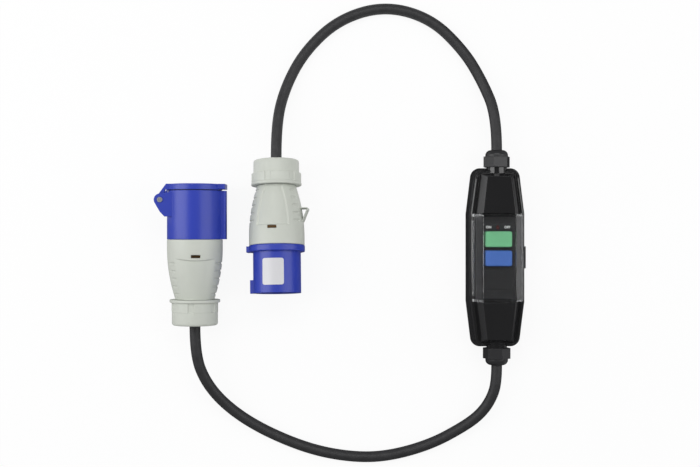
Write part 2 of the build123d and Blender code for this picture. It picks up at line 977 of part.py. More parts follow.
def shell_profile(inset, high):
    """Shell outline: straight at the mouth, then drawn in on one long arc."""
    mouth = shell_radius - inset
    waist = shell_neck_end_radius - inset
    knee = shell_end - shell_straight
    lines = [
        Line((0, high), (mouth, high)),
        Line((mouth, high), (mouth, knee)),
        TangentArc((mouth, knee), (waist, shell_start), tangent=(0, -1)),
        Line((waist, shell_start), (0, shell_start)),
        Line((0, shell_start), (0, high)),
    ]
    return make_face(Plane.XZ * Wire(lines))


def shell_solid(inset, low, high):
    """Solid inside the shell's surface, drawn in by an inset."""
    body = revolve(shell_profile(inset, high), Axis.Z)
    if low > shell_start:
        body -= rod(shell_radius + cut_overrun, shell_start - cut_overrun, low)
    return body


def shell_radius_at(level):
    """Radius of the shell's long arc at a level."""
    knee = shell_end - shell_straight
    drop = shell_radius - shell_neck_end_radius
    span = knee - shell_start
    arc_radius = (span ** 2 + drop ** 2) / (2 * drop)
    below = max(knee - level, 0)
    return shell_radius - arc_radius + math.sqrt(arc_radius ** 2 - below ** 2)


def grip_groove(index, from_degrees, degrees):
    level = shell_start + groove_first + index * groove_pitch
    centre = shell_radius_at(level) + groove_proud
    section = Plane.XZ * Pos(centre, level) * Circle(groove_radius)
    return Rot(0, 0, from_degrees) * revolve(section, Axis.Z, degrees)


def grip_grooves():
    """Long grooves at one side of the panels and two rows of dashes at the other."""
    cuts = []
    for index in range(groove_count):
        for start in (short_groove_from, -short_groove_from - short_groove_degrees):
            cuts.append(grip_groove(index, start, short_groove_degrees))
        cuts.append(grip_groove(index, half_turn - long_groove_degrees / 2, long_groove_degrees))
    return cuts


def sunk_panels(high_share, low_share):
    """Tapering panel, sunk below the shell's surface, front and back."""
    high = shell_end - panel_end
    top, low = shell_radius * high_share, shell_radius * low_share
    points = [(-low, shell_start), (low, shell_start), (top, high), (-top, high)]
    face = make_face(Plane.XZ * Polyline(*points, close=True))
    upper = face.vertices().filter_by(lambda v: v.Z > (high + shell_start) / 2)
    face = fillet(upper, panel_corner_radius)
    bar = extrude(face, 2 * shell_radius, both=True)
    return bar - shell_solid(panel_depth, shell_start, shell_end)


def connector_shell(high_share, low_share):
    shell = shell_solid(0, shell_start, shell_end)
    rim = shell.edges().filter_by(lambda e: e.center().Z > shell_end - shell_edge_round)
    shell = fillet(rim, shell_edge_round)
    shell -= sunk_panels(high_share, low_share)
    for cut in grip_grooves():
        shell -= cut
    neck_start = shell_start - shell_thread_length
    shell += rod(shell_thread_radius, neck_start, shell_start + shell_wall)
    step = shell_start - shell_wall
    hollow = shell_solid(shell_wall + panel_depth, shell_start + shell_wall, shell_end + cut_overrun)
    shell -= hollow
    skirt_room = rod(shell_radius, shell_end - shell_straight - skirt_length, shell_end + cut_overrun)
    shell -= skirt_room & shell_solid(shell_wall, shell_start, shell_end + cut_overrun)
    shell -= rod(shell_throat_radius, neck_start - cut_overrun, step)
    shell -= rod(shell_throat_step_radius, step - cut_overrun, shell_start + 2 * shell_wall)
    level = shell_end - slot_place
    slot = Pos(0, shell_radius, level) * Box(slot_width, shell_radius, slot_height)
    return shell - slot


def hook():
    """Thin ledge and slanting strut with an open gap between them."""
    root = shell_radius_at(hook_ledge) - hook_bury
    strut_root = shell_radius_at(hook_root) - hook_thickness
    outer = [
        (root, hook_ledge - hook_thickness / 2),
        (hook_reach - hook_thickness, hook_ledge - hook_thickness / 2),
        (hook_reach - hook_thickness / 2, hook_ledge - hook_thickness),
        (hook_reach, hook_ledge - hook_thickness),
        (hook_reach, hook_ledge + hook_thickness / 2),
        (strut_root + hook_thickness, hook_root),
        (strut_root, hook_root),
        (root, hook_ledge + hook_thickness),
    ]
    gap = [
        (root - hook_bury, hook_ledge + hook_thickness / 2),
        (hook_reach - hook_thickness * 3 / 2, hook_ledge + hook_thickness / 2),
        (strut_root + hook_thickness / 2, hook_root - hook_thickness * 2),
        (root - hook_bury, hook_root - hook_thickness * 2),
    ]
    body = extrude(make_face(Plane.XZ * Polyline(*outer, close=True)), hook_width / 2, both=True)
    body -= extrude(make_face(Plane.XZ * Polyline(*gap, close=True)), hook_width, both=True)
    return body - shell_solid(shell_wall / 2, shell_start, shell_end)


def plug_housing():
    return connector_shell(plug_panel_high_share, panel_low_share) + hook()


def socket_housing():
    return connector_shell(socket_panel_high_share, socket_panel_low_share)


def cord_seal():
    low = shell_start - shell_thread_length + nut_gap
    return ring(shell_throat_radius - seat_gap / 2, cord_radius, low, low + seal_length)


def cord_clamp():
    """Two saddles that grip the sheath from both sides."""
    half = clamp_height + cord_radius - clamp_split
    saddle = Pos(0, 0, clamp_place) * Box(clamp_width, 2 * half, clamp_thickness)
    room = shell_solid(shell_wall + panel_depth + seat_gap, clamp_place - clamp_thickness, shell_end)
    saddle &= room
    saddle -= rod(cord_radius, 0, shell_end)
    saddle -= Pos(0, 0, clamp_place) * Box(2 * clamp_width, clamp_split, 2 * clamp_thickness)
    for side in (-1, 1):
        hole = Rot(90, 0, 0) * Cylinder(clamp_screw_radius, 2 * half + cut_overrun)
        saddle -= Pos(side * clamp_screw_place, 0, clamp_place) * hole
    return Compound(saddle.solids())


def clamp_screw_pair():
    """Screws through the two saddles."""
    half = clamp_height
    screws = []
    for side in (-1, 1):
        screw = Rot(90, 0, 0) * Cylinder(clamp_screw_radius, 2 * half)
        screws.append((Pos(side * clamp_screw_place, 0, clamp_place) * screw).solid())
    return screws


def catch():
    """Small spring catch of the insert, seen in the shell's slot."""
    level = shell_end - slot_place
    width = slot_width - 2 * catch_clearance
    height = slot_height - 2 * catch_clearance
    inner = shell_radius - shell_wall - skirt_wall
    outer = shell_radius_at(level) - catch_sink
    return block(-width / 2, width / 2, inner, outer, level - height / 2, level + height / 2)


def contact_spots():
    """Earth at the key, the two live contacts at a third of a turn each way."""
    spots = []
    for turn in (180, 60, -60):
        angle = math.radians(turn)
        spots.append((pin_circle_radius * math.cos(angle), pin_circle_radius * math.sin(angle)))
    return spots


def barrel_start():
    return shell_end - carrier_back - barrel_length


def skirt():
    outer = shell_radius - shell_wall - skirt_fit
    return ring(outer, outer - skirt_wall, shell_end - skirt_length, shell_end + cut_overrun)


def plug_shroud():
    flange_end = shell_end + plug_flange_thickness
    mouth = flange_end + shroud_length
    body = rod(plug_flange_radius, shell_end + seat_gap / 2, flange_end)
    rims = body.edges().filter_by(GeomType.CIRCLE)
    body = fillet(rims, shell_edge_round)
    body += rod(shroud_radius, flange_end - cut_overrun, mouth)
    body += skirt() + rod(shell_radius - shell_wall - skirt_fit, shell_end - cut_overrun, flange_end)
    half = key_width / 2
    key = block(-shroud_radius - key_height, -shroud_inner_radius, -half, half, mouth - key_length, mouth)
    tips = key.edges().filter_by(Axis.Z).sort_by(Axis.X)[:2]
    body += fillet(tips, shell_edge_round)
    lug_low = flange_end - lug_thickness
    reach = plug_flange_radius + lug_height
    lug = block(-reach, -shroud_radius, -lug_width / 2, lug_width / 2, lug_low, flange_end)
    tips = lug.edges().filter_by(Axis.Z).sort_by(Axis.X)[:2]
    body += fillet(tips, shell_edge_round)
    return body - rod(shroud_inner_radius, shell_end - skirt_length - cut_overrun, mouth + cut_overrun)


def plug_pin_carrier():
    low = shell_end - carrier_back
    high = shell_end + plug_flange_thickness + carrier_front
    carrier = rod(shroud_inner_radius - carrier_fit, low, high)
    radii = (earth_pin_radius, live_pin_radius, live_pin_radius)
    for (x, y), radius in zip(contact_spots(), radii):
        seat_radius = radius + pin_shoulder + pin_fit
        carrier -= Pos(x, y, 0) * rod(seat_radius, low - cut_overrun, high + cut_overrun)
    return carrier


def contact_barrel(spot):
    """Screw barrel at the back of a contact, bored for its core."""
    low = barrel_start()
    barrel = rod(barrel_radius, low, shell_end - carrier_back)
    barrel -= rod(core_radius + pin_fit, low - cut_overrun, low + barrel_length / 2)
    x, y = spot
    angle = math.degrees(math.atan2(y, x))
    hole = Pos(0, 0, low + contact_screw_place) * Rot(0, 90, 0)
    hole = hole * Cylinder(contact_screw_radius, barrel_radius, align=BASE)
    barrel -= Rot(0, 0, angle) * hole
    return barrel


def pin(spot, radius, recess):
    """Contact pin with a shoulder seated in the carrier and a screw barrel."""
    mouth = shell_end + plug_flange_thickness + shroud_length
    front = shell_end + plug_flange_thickness + carrier_front
    body = rod(radius, front - cut_overrun, mouth - recess)
    tip = body.edges().filter_by(lambda e: e.geom_type == GeomType.CIRCLE).sort_by(Axis.Z)[-1]
    body = fillet(tip, pin_tip_round)
    body += rod(radius + pin_shoulder, shell_end - carrier_back, front)
    return (Pos(*spot, 0) * (body + contact_barrel(spot))).solid()


def plug_live_pins():
    return Compound([pin(spot, live_pin_radius, live_pin_recess) for spot in contact_spots()[1:]])


def plug_earth_pin():
    return pin(contact_spots()[0], earth_pin_radius, earth_pin_recess)


def contact_screws():
    screws = []
    for x, y in contact_spots():
        angle = math.degrees(math.atan2(y, x))
        place = Pos(core_radius + pin_fit, 0, 0) * Rot(0, 90, 0)
        screw = place * Cylinder(contact_screw_radius, contact_screw_length, align=BASE)
        level = barrel_start() + contact_screw_place
        screws.append((Pos(x, y, level) * Rot(0, 0, angle) * screw).solid())
    return screws


def cable_end():
    """Sheath through the nut, the seal and the clamp, then its three cores."""
    solids = [rod(cord_radius, 0, sheath_end).solid()]
    solids += cores(sheath_end, barrel_start(), contact_spots(), core_bend_radius * 2)
    return Compound(solids)


def plug_label():
    """Thin bare plate that follows the shroud."""
    low = shell_end + plug_flange_thickness + label_place
    bar = ring(shroud_radius + label_thickness, shroud_radius, low, low + label_length)
    face = RectangleRounded(label_width, label_length, label_corner_radius)
    window = extrude(Plane.XZ * Pos(0, low + label_length / 2) * face, -2 * shroud_radius)
    return bar & window


def socket_barrel():
    mouth = shell_end + socket_length
    body = rod(shell_radius, shell_end + seat_gap / 2, mouth)
    body += skirt()
    bulge = block(
        -shell_radius - keyway_proud,
        -shell_radius / 2,
        -keyway_width / 2,
        keyway_width / 2,
        shell_end + seat_gap / 2,
        mouth,
    )
    tips = bulge.edges().filter_by(Axis.Z).sort_by(Axis.X)[:2]
    body += fillet(tips, keyway_proud / 2)
    for side in (-1, 1):
        body += ear(side)
    web_end = shell_end + web_thickness
    body -= rod(socket_bore_radius, web_end, mouth + cut_overrun)
    body -= rod(block_radius + carrier_fit, shell_end - skirt_length - cut_overrun, mouth)
    slot = block(
        -keyway_slot_radius,
        0,
        -keyway_slot_width / 2,
        keyway_slot_width / 2,
        web_end,
        mouth + cut_overrun,
    )
    body -= slot
    bore = Rot(90, 0, 0) * Cylinder(hinge_pin_radius, 2 * ear_span)
    return body - Pos(hinge_out, 0, hinge_level()) * bore


def hinge_level():
    return shell_end + socket_length - hinge_down


def ear(side):
    """Side plate that carries one end of the hinge pin."""
    mouth = shell_end + socket_length
    inner = shell_radius / 2 + ear_thickness
    root = mouth - ear_root_drop
    top = mouth - ear_top_drop
    z = hinge_level()
    points = [
        (inner, root),
        (shell_radius, root),
        *[(hinge_out + out * ear_radius, mouth - down * ear_root_drop) for out, down in ear_curve_shares],
        (hinge_out + ear_radius / 2, z + ear_radius * 6 / 7),
        (inner, top),
    ]
    plate = extrude(make_face(Plane.XZ * Polyline(*points, close=True)), ear_thickness / 2, both=True)
    eye = Pos(hinge_out, 0, z) * Rot(90, 0, 0) * Cylinder(ear_radius, ear_thickness)
    offset = side * (ear_span - ear_thickness) / 2
    return Pos(0, offset, 0) * (plate + eye)


def socket_contact_block():
    low = shell_end - carrier_back
    high = shell_end + socket_length - block_recess
    body = rod(block_radius, low, high)
    radii = (earth_pin_radius, live_pin_radius, live_pin_radius)
    for (x, y), radius in zip(contact_spots(), radii):
        sleeve_top = high - sleeve_depth
        body -= Pos(x, y, 0) * rod(radius + entry_fit, sleeve_top - cut_overrun, high + cut_overrun)
        body -= Pos(x, y, 0) * rod(radius + pin_fit + sleeve_wall, low - cut_overrun, sleeve_top)
    return body


def sleeve(spot, radius):
    low = shell_end - carrier_back
    high = shell_end + socket_length - block_recess - sleeve_depth
    outer = radius + pin_fit + sleeve_wall
    body = rod(outer, low, high)
    body -= rod(radius + pin_fit, shell_end + web_thickness / 2, high + cut_overrun)
    return (Pos(*spot, 0) * (body + contact_barrel(spot))).solid()


def socket_live_contacts():
    return Compound([sleeve(spot, live_pin_radius) for spot in contact_spots()[1:]])


def socket_earth_contact():
    return sleeve(contact_spots()[0], earth_pin_radius)


def lid_low():
    return shell_end + socket_length + lid_gap


def socket_lid():
    low, high = lid_low(), lid_low() + lid_thickness
    lid = rod(lid_radius, low, high)
    rims = lid.edges().filter_by(GeomType.CIRCLE).sort_by(Axis.Z)[-1]
    lid = fillet(rims, lid_edge_round)
    half = lid_lip_width / 2
    lip = block(-lid_lip_reach, -lid_radius / 2, -half, half, high - lid_lip_thickness, high)
    lip_tips = lip.edges().filter_by(Axis.Z).sort_by(Axis.X)[:2]
    lid += fillet(lip_tips, lid_lip_round)
    for side in (-1, 1):
        lid += lid_arm(side)
    lid -= rod(lid_dish_radius, low - cut_overrun, low + lid_dish_depth)
    lid -= ring(lid_seal_radius, lid_seal_bore_radius, low - cut_overrun, low + lid_seal_depth)
    bore = Rot(90, 0, 0) * Cylinder(hinge_pin_radius + hinge_pin_fit, 2 * ear_span)
    return lid - Pos(hinge_out, 0, hinge_level()) * bore


def lid_arm(side):
    low, high = lid_low(), lid_low() + lid_thickness
    z = hinge_level()
    points = [
        (lid_radius * 3 / 4, low),
        (lid_radius + seat_gap, low),
        (hinge_out - arm_radius * 3 / 4, z + arm_radius * 2 / 3),
        (hinge_out + arm_radius * 4 / 5, z + arm_radius * 3 / 5),
        (lid_radius - lid_edge_round, high),
        (lid_radius * 3 / 4, high),
    ]
    arm = extrude(make_face(Plane.XZ * Polyline(*points, close=True)), arm_thickness / 2, both=True)
    arm += Pos(hinge_out, 0, z) * Rot(90, 0, 0) * Cylinder(arm_radius, arm_thickness)
    offset = ear_span / 2 - ear_thickness - arm_gap - arm_thickness / 2
    return Pos(0, side * offset, 0) * arm


def lid_gasket():
    high = lid_low() + lid_seal_depth
    low = lid_low() - lid_seal_proud
    return ring(lid_seal_radius - pin_fit, lid_seal_bore_radius + pin_fit, low, high)


def lid_hinge_pin():
    length = ear_span + 2 * hinge_pin_head_height
    pin_body = Rot(90, 0, 0) * Cylinder(hinge_pin_radius, length)
    head = Rot(90, 0, 0) * Cylinder(hinge_pin_head_radius, hinge_pin_head_height)
    offset = (ear_span + hinge_pin_head_height) / 2
    heads = Pos(0, offset, 0) * head + Pos(0, -offset, 0) * head
    return Pos(hinge_out, 0, hinge_level()) * (pin_body + heads)


def lid_spring():
    inner_span = ear_span - 2 * (ear_thickness + arm_gap + arm_thickness) - 2 * lid_spring_ends
    height = inner_span - lid_spring_wire
    coil = Helix(lid_spring_pitch, height, lid_spring_radius)
    wire = Plane(origin=coil @ 0, z_dir=coil % 0) * Circle(lid_spring_wire / 2)
    body = Rot(90, 0, 0) * (Pos(0, 0, -height / 2) * sweep(wire, coil))
    return Pos(hinge_out, 0, hinge_level()) * body


def cord_tube(name, route):
    """Straight runs joined by tangent arcs, each as large as its runs allow."""
    points = [Vector(*p) for p in route]
    radii = []
    for before, corner, after in zip(points, points[1:], points[2:]):
        first, second = corner - before, after - corner
        turn = math.radians(first.get_angle(second))
        radii.append(bend_share * min(first.length, second.length) / math.tan(turn / 2))
    path = FilletPolyline(*points, radius=radii)
    face = Plane(origin=path @ 0, z_dir=path % 0) * Circle(cord_radius)
    tube = sweep(face, path)
    expected = math.pi * cord_radius ** 2 * path.length
    print(name, "length", round(path.length, 1), "radii", [round(r, 1) for r in radii])
    print(name, "volume over section times length", round(tube.volume / expected, 4))
    return tube


def plug_location():
    base = Plane(origin=plug_place, x_dir=(1, 0, 0), z_dir=(0, -1, 0)).location
    yaw = Location((0, 0, 0), (0, plug_yaw_degrees, 0))
    return base * yaw * Location((0, 0, 0), (-plug_tilt_degrees, 0, 0))


def socket_location():
    return Plane(origin=socket_place, x_dir=(-1, 0, 0), z_dir=(0, 1, 0)).location


# Breaker
save("rcd_lower_shell", rcd_lower_shell())
save("rcd_upper_shell", rcd_upper_shell())
save("case_gasket", case_gasket())
save("case_screws", case_screws())
save("clear_cover", clear_cover())
save("cover_hinge_pins", cover_hinge_pins())
save("faceplate", faceplate())
save("status_window", status_window())
save("reset_button", button(reset_place))
save("test_button", button(test_place))
save("reset_spring", button_spring(reset_place))
save("test_spring", button_spring(test_place))
save("status_flag", status_flag())
save("contact_carriage", contact_carriage())
save("moving_contacts", moving_contacts())
save("fixed_contacts", fixed_contacts())
save("circuit_board", circuit_board())
save("board_parts", board_parts())
save("sensing_toroid", sensing_toroid())
save("trip_solenoid", trip_solenoid())
save("trip_plunger", trip_plunger())
save("rcd_terminals", rcd_terminals())
save("rcd_terminal_screws", rcd_terminal_screws())
save("rcd_cable_ends", rcd_cable_ends())
for name, side in (("line", 1), ("load", -1)):
    save(name + "_gland_body", gland_body(side))
    save(name + "_gland_nut", gland_nut(side))
    save(name + "_gland_seal", gland_seal(side))

# Plug, rolled a little about its own axis as it lies
plug_at = plug_location() * Location((0, 0, 0), (0, 0, plug_roll_degrees))
save("plug_cap_nut", plug_at * cap_nut(plug_land_radius, plug_nut_turn_degrees))
save("plug_cord_seal", plug_at * cord_seal())
save("plug_cord_clamp", plug_at * cord_clamp())
save("plug_cable_end", plug_at * cable_end())
save("plug_housing", plug_at * plug_housing())
save("plug_catch", plug_at * catch())
save("plug_shroud", plug_at * plug_shroud())
save("plug_pin_carrier", plug_at * plug_pin_carrier())
save("plug_live_pins", plug_at * plug_live_pins())
save("plug_earth_pin", plug_at * plug_earth_pin())
save("plug_label", plug_at * plug_label())

# Connector
socket_at = socket_location()
save("socket_cap_nut", socket_at * cap_nut(socket_land_radius, socket_nut_turn_degrees))
save("socket_cord_seal", socket_at * cord_seal())
save("socket_cord_clamp", socket_at * cord_clamp())
save("socket_cable_end", socket_at * cable_end())
socket_shell_at = socket_at * Location((0, 0, 0), (0, 0, socket_shell_turn_degrees))
save("socket_housing", socket_shell_at * socket_housing())
save("socket_catch", socket_shell_at * catch())
save("socket_barrel", socket_at * socket_barrel())
save("socket_contact_block", socket_at * socket_contact_block())
save("socket_live_contacts", socket_at * socket_live_contacts())
save("socket_earth_contact", socket_at * socket_earth_contact())
save("socket_lid", socket_at * socket_lid())
save("lid_gasket", socket_at * lid_gasket())
save("lid_hinge_pin", socket_at * lid_hinge_pin())
save("lid_spring", socket_at * lid_spring())

# Screws that the plug and the connector share
both = (plug_at, socket_at)
save("clamp_screws", Compound([place * screw for place in both for screw in clamp_screw_pair()]))
save("contact_screws", Compound([place * screw for place in both for screw in contact_screws()]))

# Cables
save("line_cord", cord_tube("line_cord", line_route))
save("load_cord", cord_tube("load_cord", load_route))
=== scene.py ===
import math

import bmesh
import bpy
import numpy as np
from mathutils import Matrix, Vector


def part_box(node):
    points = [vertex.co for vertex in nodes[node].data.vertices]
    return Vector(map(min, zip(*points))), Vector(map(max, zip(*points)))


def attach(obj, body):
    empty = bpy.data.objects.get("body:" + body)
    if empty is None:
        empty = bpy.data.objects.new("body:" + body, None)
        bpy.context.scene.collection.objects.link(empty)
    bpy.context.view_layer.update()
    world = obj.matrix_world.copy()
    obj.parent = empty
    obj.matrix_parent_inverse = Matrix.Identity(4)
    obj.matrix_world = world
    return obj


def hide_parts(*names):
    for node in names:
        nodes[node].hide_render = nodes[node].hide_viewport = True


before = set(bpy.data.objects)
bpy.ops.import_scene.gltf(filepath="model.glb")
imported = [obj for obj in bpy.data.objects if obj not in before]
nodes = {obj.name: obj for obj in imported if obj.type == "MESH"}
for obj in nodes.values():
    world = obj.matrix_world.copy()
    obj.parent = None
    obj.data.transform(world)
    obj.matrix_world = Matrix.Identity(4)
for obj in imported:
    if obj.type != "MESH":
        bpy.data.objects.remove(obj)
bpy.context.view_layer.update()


# The photograph looks straight down on the object from about 1.1 m,
# through a lens a little longer than normal.
CAMERA_PLACE = (-0.1353, 0.0222, 1.093)
LENS_MM = 60
SENSOR_MM = 36

camera = bpy.data.cameras.new("camera")
camera.lens = LENS_MM
camera.sensor_width = SENSOR_MM
camera_object = bpy.data.objects.new("camera", camera)
camera_object.location = CAMERA_PLACE
bpy.context.scene.collection.objects.link(camera_object)
bpy.context.scene.camera = camera_object
bpy.context.scene.view_settings.view_transform = "Standard"


# Two stretches of round rubber mains cable, 10 mm thick, joining plug and
# connector to the breaker. Extruded sheath, black, dry and slightly dusty.
CABLE_DIAMETER = 0.010
CABLE_LIFT = 0.0001
CABLE_FLOOR = CABLE_DIAMETER / 2 + CABLE_LIFT
CABLE_STEPS = 14
CABLE_SIDES = 9
GLAND_LEVEL = 0.0165
LINE_ROUTE = [
    (-0.20307, 0.08931, 0.02155),
    (-0.20353, 0.1225, 0.01853),
    (-0.1958, 0.1584, CABLE_FLOOR),
    (-0.1776, 0.1921, CABLE_FLOOR),
    (-0.1459, 0.2218, CABLE_FLOOR),
    (-0.1030, 0.2346, CABLE_FLOOR),
    (-0.0602, 0.2229, CABLE_FLOOR),
    (-0.0294, 0.1929, CABLE_FLOOR),
    (-0.0120, 0.1642, CABLE_FLOOR),
    (0.0, 0.1310, GLAND_LEVEL),
    (0.0, 0.0990, GLAND_LEVEL),
]
LOAD_ROUTE = [
    (-0.2772, -0.0616, 0.0253),
    (-0.2772, -0.0890, 0.0253),
    (-0.2676, -0.1160, 0.0185),
    (-0.2480, -0.1400, 0.0085),
    (-0.2165, -0.1610, CABLE_FLOOR),
    (-0.1728, -0.1790, CABLE_FLOOR),
    (-0.1336, -0.1863, CABLE_FLOOR),
    (-0.0998, -0.1855, CABLE_FLOOR),
    (-0.0603, -0.1745, CABLE_FLOOR),
    (-0.0295, -0.1575, 0.0072),
    (-0.0145, -0.1455, 0.0108),
    (-0.0050, -0.1315, 0.0142),
    (0.0, -0.1155, GLAND_LEVEL),
    (0.0, -0.0990, GLAND_LEVEL),
]


def linear(hex_colour):
    """Turns an sRGB hex colour into the linear values that shaders take."""
    parts = [int(hex_colour[i:i + 2], 16) / 255 for i in (1, 3, 5)]
    return tuple(c / 12.92 if c <= 0.04045 else ((c + 0.055) / 1.055) ** 2.4 for c in parts)


def new_material(title):
    """Empty node material with its shader; returns the material and the shader."""
    material = bpy.data.materials.new(title)
    material.use_nodes = True
    return material, material.node_tree.nodes["Principled BSDF"]


def add(material, kind, wires=(), values=(), **settings):
    """Adds one node with its settings, socket values and incoming links."""
    made = material.node_tree.nodes.new(kind)
    for name, value in settings.items():
        setattr(made, name, value)
    for socket, value in values:
        made.inputs[socket].default_value = value
    for socket, source in wires:
        material.node_tree.links.new(source, made.inputs[socket])
    return made


def join(material, source, target):
    material.node_tree.links.new(source, target)


def noise(material, scale, detail):
    """Noise over the piece's own coordinates, in lumps per metre."""
    place = add(material, "ShaderNodeTexCoord").outputs["Object"]
    made = add(material, "ShaderNodeTexNoise", [("Vector", place)], [("Scale", scale), ("Detail", detail)])
    return made.outputs["Fac"]


def ramp(material, source, taken, given):
    """Maps one range of a value to another."""
    made = add(
        material, "ShaderNodeMapRange", [("Value", source)],
        [("From Min", taken[0]), ("From Max", taken[1]), ("To Min", given[0]), ("To Max", given[1])],
    )
    return made.outputs["Result"]


def blend(material, share, first, second):
    """Mixes two colours, each a linear colour or another node's socket."""
    made = add(material, "ShaderNodeMixRGB", [("Fac", share)])
    for socket, colour in (("Color1", first), ("Color2", second)):
        if isinstance(colour, tuple):
            made.inputs[socket].default_value = (*colour, 1)
        else:
            join(material, colour, made.inputs[socket])
    return made.outputs["Color"]


def cable_rubber():
    """Vulcanised rubber: matt, faintly mottled, with an extruded skin."""
    material, shader = new_material("vulcanised_rubber_cable")
    mottle = noise(material, 180, 6)
    colour = blend(material, mottle, linear("#232325"), linear("#38383A"))
    join(material, colour, shader.inputs["Base Color"])
    skin = noise(material, 2600, 3)
    bump = add(material, "ShaderNodeBump", [("Height", skin)], [("Strength", 0.25), ("Distance", 0.0001)])
    join(material, bump.outputs["Normal"], shader.inputs["Normal"])
    shader.inputs["Roughness"].default_value = 0.55
    shader.inputs["IOR"].default_value = 1.52
    return material


CABLE_MATERIAL = cable_rubber()


def cable(name, route, node):
    """A round tube about one smooth line drawn by the route's points."""
    curve = bpy.data.curves.new(name, "CURVE")
    curve.dimensions = "3D"
    spline = curve.splines.new("NURBS")
    spline.points.add(len(route) - 1)
    for point, place in zip(spline.points, route):
        point.co = (*place, 1)
    spline.order_u = 3
    spline.use_endpoint_u = True
    spline.resolution_u = CABLE_STEPS
    curve.bevel_depth = CABLE_DIAMETER / 2
    curve.bevel_resolution = CABLE_SIDES
    curve.use_fill_caps = True
    piece = bpy.data.objects.new(name, curve)
    bpy.context.scene.collection.objects.link(piece)
    curve.materials.append(CABLE_MATERIAL)
    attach(piece, "main")
    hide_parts(node)


cable("line_cable", LINE_ROUTE, "line_cord")
cable("load_cable", LOAD_ROUTE, "load_cord")


# Pale studio sweep and three soft boxes. The camera sees a floor that is
# nearly white; glossy rays see it painted dark round the breaker's foot, a painted dark reflection in the
# glossy pieces.
FLOOR_COLOUR = linear("#EDEDEE")
FLOOR_HALF = 3.0
FLOOR_GLOW = 1.02
GLOW_SHARE = 0.88
# Painted shade for reflections: the colour and reach of the dark floor patch that only glossy rays see.
MIRROR_SHADE_COLOUR = linear("#3C3C3E")
MIRROR_SHADE_LEFT = (-0.036, -0.052)
MIRROR_SHADE_RIGHT = (0.036, 0.052)
MIRROR_SHADE_ALONG = (0.034, 0.044)
PALE_LEFT = (0, 1)
PALE_RIGHT = (0, 0.5)
PALE_ALONG = (0.22, 1)
ROOM_SEEN = 0.38
ROOM_MIRRORED = 0.09
LAMP_TARGET = (-0.14, 0.02, 0.02)


def studio_floor():
    """Flat sheet that glows for the camera; glossy rays see it painted dark round the breaker, a painted
    reflection.
    """
    material, shader = new_material("paper_floor")
    shader.inputs["Roughness"].default_value = 0.9
    glow = add(material, "ShaderNodeEmission", values=[("Color", (1, 1, 1, 1)), ("Strength", FLOOR_GLOW)])
    path = add(material, "ShaderNodeLightPath")
    place = add(material, "ShaderNodeNewGeometry").outputs["Position"]
    parted = add(material, "ShaderNodeSeparateXYZ", [(0, place)])
    along = ramp(material, parted.outputs["Y"], MIRROR_SHADE_ALONG, PALE_ALONG)
    left = ramp(material, parted.outputs["X"], MIRROR_SHADE_LEFT, PALE_LEFT)
    right = ramp(material, parted.outputs["X"], MIRROR_SHADE_RIGHT, PALE_RIGHT)
    away = add(material, "ShaderNodeMath", [(0, left), (1, along), (2, right)], operation="MULTIPLY_ADD")
    # Painted dark reflection: the floor round the breaker turns dark only for glossy rays.
    mirror_shade = blend(material, away.outputs["Value"], MIRROR_SHADE_COLOUR, FLOOR_COLOUR)
    mirrored = blend(material, path.outputs["Is Glossy Ray"], FLOOR_COLOUR, mirror_shade)
    join(material, mirrored, shader.inputs["Base Color"])
    seen = path.outputs["Is Camera Ray"]
    share = add(material, "ShaderNodeMath", [(0, seen)], [(1, GLOW_SHARE)], operation="MULTIPLY")
    mix = add(
        material, "ShaderNodeMixShader",
        [(0, share.outputs["Value"]), (1, shader.outputs["BSDF"]), (2, glow.outputs["Emission"])],
    )
    join(material, mix.outputs["Shader"], material.node_tree.nodes["Material Output"].inputs["Surface"])
    mesh = bpy.data.meshes.new("floor")
    corners = [(x * FLOOR_HALF, y * FLOOR_HALF, 0) for x, y in ((-1, -1), (1, -1), (1, 1), (-1, 1))]
    mesh.from_pydata(corners, [], [(0, 1, 2, 3)])
    mesh.materials.append(material)
    floor = bpy.data.objects.new("floor", mesh)
    bpy.context.scene.collection.objects.link(floor)


def soft_box(name, place, size, power):
    """Rectangular lamp turned towards the middle of the object."""
    light = bpy.data.lights.new(name, "AREA")
    light.shape = "RECTANGLE"
    light.size, light.size_y = size
    light.energy = power
    lamp = bpy.data.objects.new(name, light)
    lamp.location = place
    aim = Vector(LAMP_TARGET) - Vector(place)
    lamp.rotation_euler = aim.to_track_quat("-Z", "Y").to_euler()
    bpy.context.scene.collection.objects.link(lamp)


def studio_room():
    """White surroundings, dimmer in mirrors than in the light they give."""
    world = bpy.data.worlds.new("studio")
    bpy.context.scene.world = world
    world.use_nodes = True
    background = world.node_tree.nodes["Background"]
    background.inputs["Color"].default_value = (1, 1, 1, 1)
    path = world.node_tree.nodes.new("ShaderNodeLightPath")
    strength = world.node_tree.nodes.new("ShaderNodeMapRange")
    strength.inputs["To Min"].default_value = ROOM_SEEN
    strength.inputs["To Max"].default_value = ROOM_MIRRORED
    world.node_tree.links.new(path.outputs["Is Glossy Ray"], strength.inputs["Value"])
    world.node_tree.links.new(strength.outputs["Result"], background.inputs["Strength"])


studio_floor()
soft_box("left_box", place=(-1.35, 0.15, 0.85), size=(0.5, 1.5), power=8.5)
soft_box("right_box", place=(1.05, 0.1, 0.95), size=(0.45, 1.5), power=5.8)
soft_box("top_box", place=(-0.15, 0.75, 1.5), size=(1.6, 0.6), power=7.5)
studio_room()


# Breaker case: two glossy black ABS shells screwed together from below on a
# matt rubber gasket, polished in the mould so that it mirrors the soft boxes.
DRIFT_SCALE = 33
DRIFT_SPAN = (0.3, 0.7)
EDGE_MATCH = (0.98, 0.75)
EDGE_WEAR = (0, 0.6)
GLOSSIER = 0.05
DULLER = 0.07
WHOLE = (0, 1)


